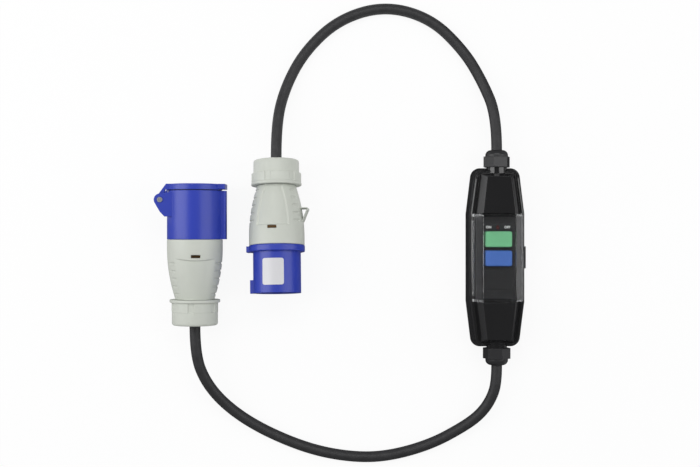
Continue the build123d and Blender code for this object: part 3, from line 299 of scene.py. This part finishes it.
def moulded(title, colour, worn, roughness, grain, relief, edge, mottle=0.06):
    """Injection-moulded plastic with eased edges that wear a little paler.

    The base colour drifts over about 30 mm, the skin carries a fine spark
    grain, and the edge factor compares the eased normal with the true one.
    """
    material, shader = new_material(title)
    drift = noise(material, DRIFT_SCALE, 4)
    tone = ramp(material, drift, DRIFT_SPAN, (1 - mottle, 1 + mottle))
    base = add(material, "ShaderNodeHueSaturation", [("Value", tone)], [("Color", (*linear(colour), 1))])
    eased_skin = add(material, "ShaderNodeBevel", values=[("Radius", edge)], samples=6)
    true_skin = add(material, "ShaderNodeNewGeometry")
    match = add(
        material, "ShaderNodeVectorMath",
        [(0, eased_skin.outputs["Normal"]), (1, true_skin.outputs["Normal"])], operation="DOT_PRODUCT",
    )
    rub = ramp(material, match.outputs["Value"], EDGE_MATCH, EDGE_WEAR)
    join(material, blend(material, rub, base.outputs["Color"], linear(worn)), shader.inputs["Base Color"])
    skin = noise(material, 1 / grain, 3)
    bump = add(
        material, "ShaderNodeBump", [("Height", skin), ("Normal", eased_skin.outputs["Normal"])],
        [("Strength", relief), ("Distance", grain / 8)],
    )
    join(material, bump.outputs["Normal"], shader.inputs["Normal"])
    gloss = ramp(material, skin, WHOLE, (max(roughness - GLOSSIER, 0), roughness + DULLER))
    join(material, gloss, shader.inputs["Roughness"])
    shader.inputs["IOR"].default_value = 1.53
    return material


def dress(material, *names):
    """Gives CAD nodes one material."""
    for name in names:
        mesh = nodes[name].data
        mesh.materials.clear()
        mesh.materials.append(material)


CASE_ABS = moulded("glossy_black_abs", "#202021", "#3C3C3D", 0.10, 0.0009, 0.06, 0.0005)
dress(CASE_ABS, "rcd_lower_shell", "rcd_upper_shell")
SEAL_RUBBER = moulded("nitrile_seal_rubber", "#141414", "#1C1C1C", 0.6, 0.0006, 0.3, 0.0002)
dress(
    SEAL_RUBBER, "case_gasket", "line_gland_seal", "load_gland_seal", "plug_cord_seal", "socket_cord_seal",
    "lid_gasket",
)
dress(CABLE_MATERIAL, "rcd_cable_ends", "plug_cable_end", "socket_cable_end")


# Face plate and controls: a satin black plate with two moulded rocker caps,
# green above and blue below, and a clear lens over the sliding flag.
SHADOW_LEFT = 0.12


def clear_plastic(title, tint, roughness):
    """Clear polycarbonate, moulded and polished; shadow rays pass nearly unhindered."""
    material, shader = new_material(title)
    path = add(material, "ShaderNodeLightPath")
    alpha = ramp(material, path.outputs["Is Shadow Ray"], WHOLE, (1.0, SHADOW_LEFT))
    join(material, alpha, shader.inputs["Alpha"])
    shader.inputs["Base Color"].default_value = (*linear(tint), 1)
    shader.inputs["Transmission Weight"].default_value = 1.0
    shader.inputs["Roughness"].default_value = roughness
    shader.inputs["IOR"].default_value = 1.58
    return material


PLATE = moulded("satin_black_polycarbonate", "#1B1B1D", "#2C2C2E", 0.38, 0.0007, 0.12, 0.0003)
dress(PLATE, "faceplate", "contact_carriage")
dress(moulded("green_button_abs", "#7FD49A", "#96DDAC", 0.36, 0.0006, 0.18, 0.0006), "reset_button")
dress(moulded("blue_button_abs", "#4A78CE", "#6790DA", 0.36, 0.0006, 0.18, 0.0006), "test_button")
dress(moulded("red_flag_abs", "#A8302A", "#B84A44", 0.4, 0.0006, 0.1, 0.0002), "status_flag")
dress(clear_plastic("clear_lens", "#DADADA", 0.05), "status_window")


# Clear cover: one hood of polished polycarbonate with eased outer edges and
# a finger tab, hinged on two pins at its left foot.
CLEAR_PC = clear_plastic("clear_polycarbonate_cover", "#F2F3F4", 0.02)
COVER_WALL = 0.0018
COVER_CLEARANCE = 0.0005
COVER_LIP = 0.0016
COVER_TOP_HALF = 0.01515
COVER_EASE = 0.0006
COVER_EASE_STEPS = 3
COVER_RING = 6
COVER_SKIN = 2 * COVER_RING
TAB_REACH = 0.0022
TAB_WIDTH = 0.020
TAB_HEIGHT = 0.0024
TAB_MIDDLE = 0.0004
FOOT_TOLERANCE = 0.0001


def hood_mesh(half, length, foot, top):
    """Hood open at the foot: an outer and an inner skin joined round the rim.

    Each skin is two rings of six points, one at each end of the cover.
    """
    outer = [(half, foot), (half, foot + COVER_LIP), (COVER_TOP_HALF, top)]
    inner = [
        (half - COVER_WALL, foot), (half - COVER_WALL, foot + COVER_LIP),
        (COVER_TOP_HALF - COVER_WALL / 2, top - COVER_WALL),
    ]
    points, faces = [], []
    for section, reach in ((outer, length), (inner, length - COVER_WALL)):
        ring = section + [(-x, z) for x, z in reversed(section)]
        for y in (-reach, reach):
            points += [(x, y, z) for x, z in ring]
    for start, flip in ((0, False), (COVER_SKIN, True)):
        near = range(start, start + COVER_RING)
        far = range(start + COVER_RING, start + COVER_SKIN)
        sides = [(near[i], near[i + 1], far[i + 1], far[i]) for i in range(COVER_RING - 1)]
        sides += [tuple(reversed(near)), tuple(far)]
        faces += [tuple(reversed(face)) for face in sides] if flip else sides
    rim = [0, COVER_RING, COVER_SKIN - 1, COVER_RING - 1]
    faces += [(a, b, b + COVER_SKIN, a + COVER_SKIN) for a, b in zip(rim, rim[1:] + rim[:1])]
    mesh = bpy.data.meshes.new("hood")
    mesh.from_pydata(points, [], faces)
    return mesh


def cover_hood():
    """Hood with eased edges and its tab, inside the box that the CAD cover fills."""
    low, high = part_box("clear_cover")
    half = high[0] - TAB_REACH
    length = (high[1] - low[1]) / 2
    foot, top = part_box("faceplate")[0][2] + COVER_CLEARANCE, high[2]
    mesh = hood_mesh(half, length, foot, top)
    work = bmesh.new()
    work.from_mesh(mesh)
    bmesh.ops.recalc_face_normals(work, faces=work.faces)
    outer_edges = [
        edge for edge in work.edges
        if max(corner.index for corner in edge.verts) < COVER_SKIN
        and max(corner.co.z for corner in edge.verts) > foot + FOOT_TOLERANCE
    ]
    bmesh.ops.bevel(work, geom=outer_edges, offset=COVER_EASE, segments=COVER_EASE_STEPS, affect="EDGES")
    tab_low, tab_high = half - COVER_WALL / 2, high[0]
    for corner in bmesh.ops.create_cube(work, size=1)["verts"]:
        x, y, z = corner.co
        corner.co = (
            tab_low + (x + 0.5) * (tab_high - tab_low), TAB_MIDDLE + y * TAB_WIDTH,
            foot + (z + 0.5) * TAB_HEIGHT,
        )
    work.to_mesh(mesh)
    work.free()
    mesh.materials.append(CLEAR_PC)
    piece = bpy.data.objects.new("cover_hood", mesh)
    bpy.context.scene.collection.objects.link(piece)
    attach(piece, "cover")
    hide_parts("clear_cover")


cover_hood()


# ON and OFF printed in white beside the lens, by the flag they explain.
# Screen ink, too thin to feel.
PRINT = moulded("white_screen_print", "#F4F4F4", "#F4F4F4", 0.5, 0.0003, 0.1, 0.0001, 0.02)
PRINT_LIFT = 0.00005
WORD_OUT = 0.0085
WORD_HEIGHT = 0.0030
STROKE_SHARE = 30


def printed_word(word, place):
    """Flat lettering made a mesh, laid just above the face plate."""
    curve = bpy.data.curves.new(word, "FONT")
    curve.body = word
    curve.size = WORD_HEIGHT
    curve.offset = WORD_HEIGHT / STROKE_SHARE
    curve.align_x = "CENTER"
    curve.align_y = "CENTER"
    draft = bpy.data.objects.new("draft", curve)
    bpy.context.scene.collection.objects.link(draft)
    bpy.context.view_layer.update()
    mesh = bpy.data.meshes.new_from_object(draft.evaluated_get(bpy.context.evaluated_depsgraph_get()))
    bpy.data.objects.remove(draft)
    mesh.transform(Matrix.Translation(place))
    piece = bpy.data.objects.new("print_" + word.lower(), mesh)
    bpy.context.scene.collection.objects.link(piece)
    mesh.materials.clear()
    mesh.materials.append(PRINT)
    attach(piece, "main")


plate_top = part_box("faceplate")[1][2] + PRINT_LIFT
lens_low, lens_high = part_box("status_window")
lens_middle = (lens_low[1] + lens_high[1]) / 2
printed_word("ON", (-WORD_OUT, lens_middle, plate_top))
printed_word("OFF", (WORD_OUT, lens_middle, plate_top))


# Metal pieces: zinc-plated screws and pins, spring wire, blackened catches,
# turned brass contacts and copper strip, all with fine scratches.
METAL_GLOSSIER = 0.08
METAL_DULLER = 0.12


def plated_steel(title, colour, roughness, scratch):
    """Metal whose gloss varies with its fine scratches."""
    material, shader = new_material(title)
    shader.inputs["Base Color"].default_value = (*linear(colour), 1)
    shader.inputs["Metallic"].default_value = 1.0
    lines = noise(material, 1 / scratch, 5)
    gloss = ramp(material, lines, WHOLE, (roughness - METAL_GLOSSIER, roughness + METAL_DULLER))
    join(material, gloss, shader.inputs["Roughness"])
    bump = add(
        material, "ShaderNodeBump", [("Height", lines)],
        [("Strength", 0.15), ("Distance", scratch / 6)],
    )
    join(material, bump.outputs["Normal"], shader.inputs["Normal"])
    return material


STEEL = plated_steel("zinc_plated_steel", "#C9CACB", 0.28, 0.0008)
dress(
    STEEL, "case_screws", "cover_hinge_pins", "lid_hinge_pin", "clamp_screws", "contact_screws",
    "rcd_terminal_screws", "trip_plunger",
)
dress(plated_steel("spring_wire", "#A9AAAD", 0.3, 0.0005), "reset_spring", "test_spring", "lid_spring")
dress(plated_steel("oil_blackened_spring_steel", "#5E4A34", 0.35, 0.0005), "plug_catch", "socket_catch")
BRASS = plated_steel("turned_brass", "#C6A75C", 0.3, 0.0008)
dress(
    BRASS, "plug_live_pins", "plug_earth_pin", "socket_live_contacts", "socket_earth_contact",
    "rcd_terminals",
)
dress(plated_steel("copper_strip", "#C07A50", 0.3, 0.0008), "moving_contacts", "fixed_contacts")


# Circuit board with its parts, the current transformer and the trip coil,
# hidden in the case: glass epoxy laminate and varnished copper winding.
dress(moulded("glass_epoxy_board", "#2E6B3E", "#3C7D4C", 0.35, 0.0008, 0.1, 0.0002), "circuit_board")
dress(moulded("epoxy_component", "#28282B", "#38383B", 0.4, 0.0008, 0.1, 0.0003), "board_parts")
WINDING = moulded("varnished_winding", "#9A5B34", "#B06C40", 0.3, 0.0006, 0.5, 0.0003)
dress(WINDING, "sensing_toroid", "trip_solenoid")


# Cable glands at both ends: black nylon bodies with hexagon dome nuts. The
# cord clamps of plug and connector are of the same nylon.
GLAND_NYLON = moulded("black_gland_nylon", "#2B2B2D", "#454547", 0.34, 0.0007, 0.2, 0.0008)
dress(
    GLAND_NYLON, "line_gland_body", "line_gland_nut", "load_gland_body", "load_gland_nut",
    "plug_cord_clamp", "socket_cord_clamp",
)


# Cap nuts of the plug and the connector: grey polyamide with a round-edged
# top and a ring of six grip lands above an end flange. Lengths are in mm.
GREY_NYLON = moulded("grey_polyamide", "#CDD1C8", "#DDE0D9", 0.42, 0.0006, 0.16, 0.0004, 0.03)
MM = 0.001
PLUG_PLACE = (-203.07, 89.31, 21.55)
PLUG_YAW = 0.8
PLUG_TILT = 5.2
PLUG_ROLL = 6.7
PLUG_NUT_TURN = 17
SOCKET_PLACE = (-277.2, -61.6, 25.3)
SOCKET_SHELL_TURN = 9.0
SOCKET_NUT_TURN = 58
NUT_LENGTH = 23.5
NUT_TOP_LENGTH = 12.2
NUT_TOP_WALL = 5
NUT_RADIUS = 20.9
NUT_THROAT = 5.5
NUT_BORE_TOP = 15.8
NUT_BORE_END = 16.2
NUT_FLANGE = 2.6
NUT_FLANGE_RADIUS = 23.0
PLUG_LAND_RADIUS = 22.7
SOCKET_LAND_RADIUS = 21.1
NUT_LANDS = 6
LAND_HALF = 22.5
LAND_PROUD = 0.9
LAND_SOFT = (0.8, 1.2)
LAND_TURNS = [-30, -27, -24.6, -23.6, -23, -22.4, -21.8, -19, -14, -9, -4.5]
NUT_SHARP = 35


def turn_about(axis, degrees):
    """Rotation matrix about one of the three axes."""
    c, s = math.cos(math.radians(degrees)), math.sin(math.radians(degrees))
    first, second = [i for i in range(3) if i != axis]
    matrix = np.eye(3)
    matrix[first, first] = matrix[second, second] = c
    matrix[first, second], matrix[second, first] = (-s, s) if axis != 1 else (s, -s)
    return matrix


PLUG_BASE = np.array([[1, 0, 0], [0, 0, -1], [0, 1, 0]], dtype=float)
PLUG_LIE = PLUG_BASE @ turn_about(1, PLUG_YAW) @ turn_about(0, -PLUG_TILT)
SOCKET_LIE = np.array([[-1, 0, 0], [0, 0, 1], [0, 1, 0]], dtype=float)


def laid(grid, lie, place, roll):
    """From a connector's own axes, mouth along +Z, in mm, to where it lies, in m."""
    matrix = lie @ turn_about(2, roll)
    return ((grid.reshape(-1, 3) @ matrix.T + np.array(place)) * MM).reshape(grid.shape)


def on_plug(grid, roll=PLUG_ROLL):
    return laid(grid, PLUG_LIE, PLUG_PLACE, roll)


def on_socket(grid, roll):
    return laid(grid, SOCKET_LIE, SOCKET_PLACE, roll)


def grey_piece(name, grid, sharp, replaced=()):
    """Quads over a grid of points that closes on itself both ways."""
    rows, columns = grid.shape[:2]
    index = np.arange(rows * columns).reshape(rows, columns)
    right = np.roll(index, -1, axis=1)
    faces = np.stack([index, right, np.roll(right, -1, axis=0), np.roll(index, -1, axis=0)], axis=-1)
    points = grid.reshape(-1, 3)
    faces = faces.reshape(-1, 4)
    a, b, c, d = (points[faces[:, i]] for i in range(4))
    volume = np.einsum("ij,ij->", a, np.cross(b, c) + np.cross(c, d))
    if volume < 0:
        faces = faces[:, ::-1]
    mesh = bpy.data.meshes.new(name)
    mesh.from_pydata(points.tolist(), [], faces.tolist())
    mesh.polygons.foreach_set("use_smooth", np.ones(len(faces), dtype=bool))
    mesh.set_sharp_from_angle(angle=math.radians(sharp))
    mesh.materials.append(GREY_NYLON)
    piece = bpy.data.objects.new(name, mesh)
    bpy.context.scene.collection.objects.link(piece)
    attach(piece, "main")
    if replaced:
        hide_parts(*replaced)


def eased(corners, steps=5):
    """Closed outline with each corner rounded by its own radius.

    A corner is (r, z, extra, radius); each becomes a short parabola between
    the two points that lie one radius along its sides.
    """
    corners = np.array(corners, dtype=float)
    here, radius = corners[:, :3], corners[:, 3:]
    before, after = np.roll(here, 1, axis=0) - here, np.roll(here, -1, axis=0) - here
    reach_before = np.linalg.norm(before[:, :2], axis=1, keepdims=True)
    reach_after = np.linalg.norm(after[:, :2], axis=1, keepdims=True)
    start = here + before * np.minimum(radius / reach_before, 0.49)
    stop = here + after * np.minimum(radius / reach_after, 0.49)
    t = np.linspace(0, 1, steps)[:, None, None]
    arcs = (1 - t) ** 2 * start + 2 * t * (1 - t) * here + t ** 2 * stop
    return arcs.transpose(1, 0, 2).reshape(-1, 3)


def smooth_step(value, low, high):
    t = np.clip((value - low) / (high - low), 0, 1)
    return t * t * (3 - 2 * t)


def within(value, edge, soft):
    """One inside an edge and nought outside, soft by its two reaches across it."""
    return 1 - smooth_step(value, edge - soft[0], edge + soft[1])


def cap_nut_grid(land_radius):
    """Outline turned about Z, its third column saying how far a land lifts it."""
    groove, flange_start = land_radius - LAND_PROUD, NUT_LENGTH - NUT_FLANGE
    outline = eased([
        (NUT_THROAT, 0, 0, 0.6), (NUT_RADIUS, 0, 0, 2.6), (NUT_RADIUS, NUT_TOP_LENGTH, 0, 0.3),
        (groove, NUT_TOP_LENGTH + 0.01, 1, 0.7), (groove, flange_start - 0.4, 1, 0.3),
        (NUT_FLANGE_RADIUS - 0.6, flange_start, 0, 0.3), (NUT_FLANGE_RADIUS, flange_start + 0.3, 0, 0.4),
        (NUT_FLANGE_RADIUS, NUT_LENGTH, 0, 0.6), (NUT_BORE_END, NUT_LENGTH, 0, 0.4),
        (NUT_BORE_TOP, NUT_TOP_WALL, 0, 0.3), (NUT_THROAT, NUT_TOP_WALL, 0, 0.3),
    ])
    steps = np.array(LAND_TURNS)
    steps = np.concatenate([steps, [0], -steps[:0:-1]])
    centres = 360 / NUT_LANDS * np.arange(NUT_LANDS)
    angle = np.radians((centres[:, None] + steps[None, :]).ravel())
    land = within(np.abs(np.tile(steps, NUT_LANDS)), LAND_HALF, LAND_SOFT)
    radius = outline[None, :, 0] + LAND_PROUD * outline[None, :, 2] * land[:, None]
    return np.stack([
        radius * np.cos(angle)[:, None], radius * np.sin(angle)[:, None],
        np.broadcast_to(outline[None, :, 1], radius.shape),
    ], axis=-1)


plug_nut = on_plug(cap_nut_grid(PLUG_LAND_RADIUS), PLUG_NUT_TURN)
socket_nut = on_socket(cap_nut_grid(SOCKET_LAND_RADIUS), SOCKET_NUT_TURN)
grey_piece("plug_nut", plug_nut, NUT_SHARP, ["plug_cap_nut"])
grey_piece("socket_nut", socket_nut, NUT_SHARP, ["socket_cap_nut"])


# Grey housings: a mouth ring drawn in on one long arc to the nut, sunk panels
# front and back, and grip grooves moulded into the flanks.
SHELL_START = 23.8
SHELL_END = 78.4
SHELL_RADIUS = 25.3
SHELL_STRAIGHT = 8.0
SHELL_WALL = 2.4
SHELL_SHARP = 50
MOUTH_EASE = 0.6
MOUTH_TURNS = np.radians([30, 60, 90])
NECK_RADIUS = 17.7
NECK_STEP = 0.5
TAIL_LENGTH = 17
TAIL_RADIUS = 15.3
HAIR = 0.01
ARC_RINGS = 190
MOUTH_RINGS = 10
DEGREE_STEP = 1.25
GROOVE_RADIUS = 1.1
GROOVE_PROUD = 0.3
GROOVE_FIRST = 5.0
GROOVE_PITCH = 7.0
GROOVES = 5
GROOVE_LEVELS = SHELL_START + GROOVE_FIRST + GROOVE_PITCH * np.arange(GROOVES)
GRIP_BANDS = [(31.5, 8.5), (-31.5, 8.5), (180, 42)]
BAND_SOFT = (1.5, 1.5)
SLOT_LEVEL = SHELL_END - 15.3
SLOT_HALF_WIDTH = 4.2
SLOT_HALF_HEIGHT = 1.3
SLOT_DEPTH = 1.9
SLOT_SOFT = (0.2, 0.2)
PLUG_PANEL_END = SHELL_END - 17.2
PLUG_PANEL_HALF = 7.4
PLUG_PANEL_WIDER = 7.0
PLUG_PANEL_DEPTH = 0.95
PLUG_SIDE_SOFT = (0.5, 0.4)
PLUG_END_SOFT = (0.35, 0.25)
SOCKET_PANEL_END = SHELL_END - 18.9
SOCKET_PANEL_SMILE = 2.2
SOCKET_PANEL_REACH = 19.2
SOCKET_PANEL_HALF = 11.5
SOCKET_PANEL_WIDER = 7.7
SOCKET_PANEL_DEPTH = 1.3
SOCKET_FADE_START = 0.55
SOCKET_LOW_SHARE = 0.35
SOCKET_END_SOFT = (0.7, 0.2)
FACING_FROM = 0.2
FACING_LEAST = 0.4
FRONT_FROM = 0.5
LINING_DRAFT = 0.5
LINING = np.array([
    (SHELL_RADIUS - SHELL_WALL, SHELL_END), (SHELL_RADIUS - SHELL_WALL - LINING_DRAFT, SHELL_END - 14),
    (NECK_RADIUS - 5.5, SHELL_START + 2.5), (12.4, SHELL_START - TAIL_LENGTH),
])


def shell_radius(level):
    """Radius of the long arc, tangent to the straight ring at the mouth."""
    knee = SHELL_END - SHELL_STRAIGHT
    drop, span = SHELL_RADIUS - NECK_RADIUS, knee - SHELL_START
    arc = (span ** 2 + drop ** 2) / (2 * drop)
    below = np.maximum(knee - level, 0)
    return SHELL_RADIUS - arc + np.sqrt(arc ** 2 - below ** 2)


def groove_depth(degrees, level):
    """Round grooves at fixed levels, running out softly at each band's ends."""
    away = np.abs(level[..., None] - GROOVE_LEVELS).min(axis=-1)
    cut = np.sqrt(np.maximum(GROOVE_RADIUS ** 2 - away ** 2, 0)) - GROOVE_PROUD
    share = np.zeros_like(degrees)
    for middle, half in GRIP_BANDS:
        off = np.abs((degrees - middle + 180) % 360 - 180)
        share = np.maximum(share, within(off, half, BAND_SOFT))
    return np.maximum(cut, 0) * share


def slot_depth(across, level):
    """Narrow slot at the front, with steep sides."""
    inside = within(np.abs(across), SLOT_HALF_WIDTH, SLOT_SOFT)
    return SLOT_DEPTH * inside * within(np.abs(level - SLOT_LEVEL), SLOT_HALF_HEIGHT, SLOT_SOFT)


def plug_panel(across, level):
    """Panel that widens in two arcs and ends in a straight edge."""
    share = np.clip((level - SHELL_START) / (PLUG_PANEL_END - SHELL_START), 0, 1)
    half = PLUG_PANEL_HALF + PLUG_PANEL_WIDER * np.sin(share * math.pi / 2)
    sides = within(np.abs(across), half, PLUG_SIDE_SOFT)
    return PLUG_PANEL_DEPTH * sides * within(level, PLUG_PANEL_END, PLUG_END_SOFT)


def socket_panel(across, level):
    """Scooped flat whose upper edge smiles and fades out at its ends."""
    high = SOCKET_PANEL_END + SOCKET_PANEL_SMILE * (across / SOCKET_PANEL_REACH) ** 2
    share = np.clip((level - SHELL_START) / (high - SHELL_START), 0, 1)
    half = SOCKET_PANEL_HALF + SOCKET_PANEL_WIDER * share
    fade = 1 - smooth_step(np.abs(across), half * SOCKET_FADE_START, half)
    deeper = SOCKET_LOW_SHARE + (1 - SOCKET_LOW_SHARE) * share
    return SOCKET_PANEL_DEPTH * fade * within(level, high, SOCKET_END_SOFT) * deeper


def housing_grid(panel):
    """Outer surface with its sunk details, then the plain inner surface."""
    levels = np.concatenate([
        [SHELL_START - TAIL_LENGTH, SHELL_START - 2 * HAIR, SHELL_START - HAIR],
        np.linspace(SHELL_START, SHELL_END - SHELL_STRAIGHT, ARC_RINGS),
        np.linspace(SHELL_END - SHELL_STRAIGHT, SHELL_END - MOUTH_EASE, MOUTH_RINGS)[1:],
        SHELL_END - MOUTH_EASE + MOUTH_EASE * np.sin(MOUTH_TURNS),
    ])
    outer = shell_radius(levels)
    outer[:3] = (TAIL_RADIUS, TAIL_RADIUS, NECK_RADIUS - NECK_STEP)
    outer[-3:] = SHELL_RADIUS - MOUTH_EASE * (1 - np.cos(MOUTH_TURNS))
    degrees = np.arange(0, 360, DEGREE_STEP)
    angle, level = np.meshgrid(np.radians(degrees), levels, indexing="ij")
    radius = np.broadcast_to(outer, level.shape).copy()
    across, facing = radius * np.cos(angle), np.abs(np.sin(angle))
    sunk = np.where(facing > FACING_FROM, panel(across, level), 0) / np.maximum(facing, FACING_LEAST)
    sunk = np.maximum(sunk, groove_depth(np.degrees(angle), level))
    sunk = np.maximum(sunk, np.where(np.sin(angle) > FRONT_FROM, slot_depth(across, level), 0))
    radius -= np.where(level > SHELL_START, sunk, 0)
    skin = np.stack([radius * np.cos(angle), radius * np.sin(angle), level], axis=-1)
    inner, turn = LINING[:, 0], np.radians(degrees)[:, None]
    inner_levels = np.broadcast_to(LINING[:, 1], (len(degrees), len(LINING)))
    lining = np.stack([inner * np.cos(turn), inner * np.sin(turn), inner_levels], axis=-1)
    return np.concatenate([skin, lining], axis=1)


grey_piece("plug_shell", on_plug(housing_grid(plug_panel)), SHELL_SHARP, ["plug_housing"])
socket_shell = on_socket(housing_grid(socket_panel), SOCKET_SHELL_TURN)
grey_piece("socket_shell", socket_shell, SHELL_SHARP, ["socket_housing"])


# Hook on the plug's flank, one bent strip of the same polyamide, that holds
# the lid of a connector once the two are mated.
HOOK_WIDTH = 11.0
HOOK_THICKNESS = 0.9
HOOK_ROUND = 0.35
HOOK_CLOSED = 0.02
HOOK_SHARP = 40
HOOK_PATH = [
    (22.4, 45.0), (26.5, 45.0), (28.3, 45.0), (29.0, 45.2), (29.1, 46.0),
    (28.4, 47.6), (27.4, 49.8), (26.4, 52.2), (25.4, 54.8), (24.2, 57.4),
]


def hook_grid():
    """Rounded rectangle carried along the bent centre line of the strip."""
    path = np.array(HOOK_PATH)
    along = np.gradient(path, axis=0)
    along /= np.linalg.norm(along, axis=1, keepdims=True)
    side = np.stack([-along[:, 1], along[:, 0]], axis=1)
    w, t = HOOK_WIDTH / 2, HOOK_THICKNESS / 2
    ring = np.array([
        (w, t - HOOK_ROUND), (w - HOOK_ROUND, t), (HOOK_ROUND - w, t), (-w, t - HOOK_ROUND),
        (-w, HOOK_ROUND - t), (HOOK_ROUND - w, -t), (w - HOOK_ROUND, -t), (w, HOOK_ROUND - t),
    ])
    centre = np.concatenate([path, path[-1:], path[:1]])
    side = np.concatenate([side, side[-1:], side[:1]])
    swell = np.ones(len(centre))
    swell[-2:] = HOOK_CLOSED
    x = centre[:, None, 0] + side[:, None, 0] * ring[None, :, 1] * swell[:, None]
    z = centre[:, None, 1] + side[:, None, 1] * ring[None, :, 1] * swell[:, None]
    y = ring[None, :, 0] * swell[:, None] + 0 * x
    return np.stack([x, y, z], axis=-1)


grey_piece("plug_hook", on_plug(hook_grid()), HOOK_SHARP)


# Blue inserts, barrel and lid: smooth polyamide in the blue that marks
# single-phase connectors.
BLUE_NYLON = moulded("blue_polyamide", "#263CB2", "#4054BE", 0.34, 0.0007, 0.10, 0.0006, 0.04)
dress(BLUE_NYLON, "plug_shroud", "plug_pin_carrier", "socket_barrel", "socket_contact_block", "socket_lid")


# Rating plate: a bare silver-white film stuck round the shroud.
# Smooth and a little glossier than the moulding under it.
LABEL_FILM = moulded("silver_label_film", "#DCDCDF", "#E8E8EA", 0.3, 0.0004, 0.06, 0.0001, 0.02)
dress(LABEL_FILM, "plug_label")
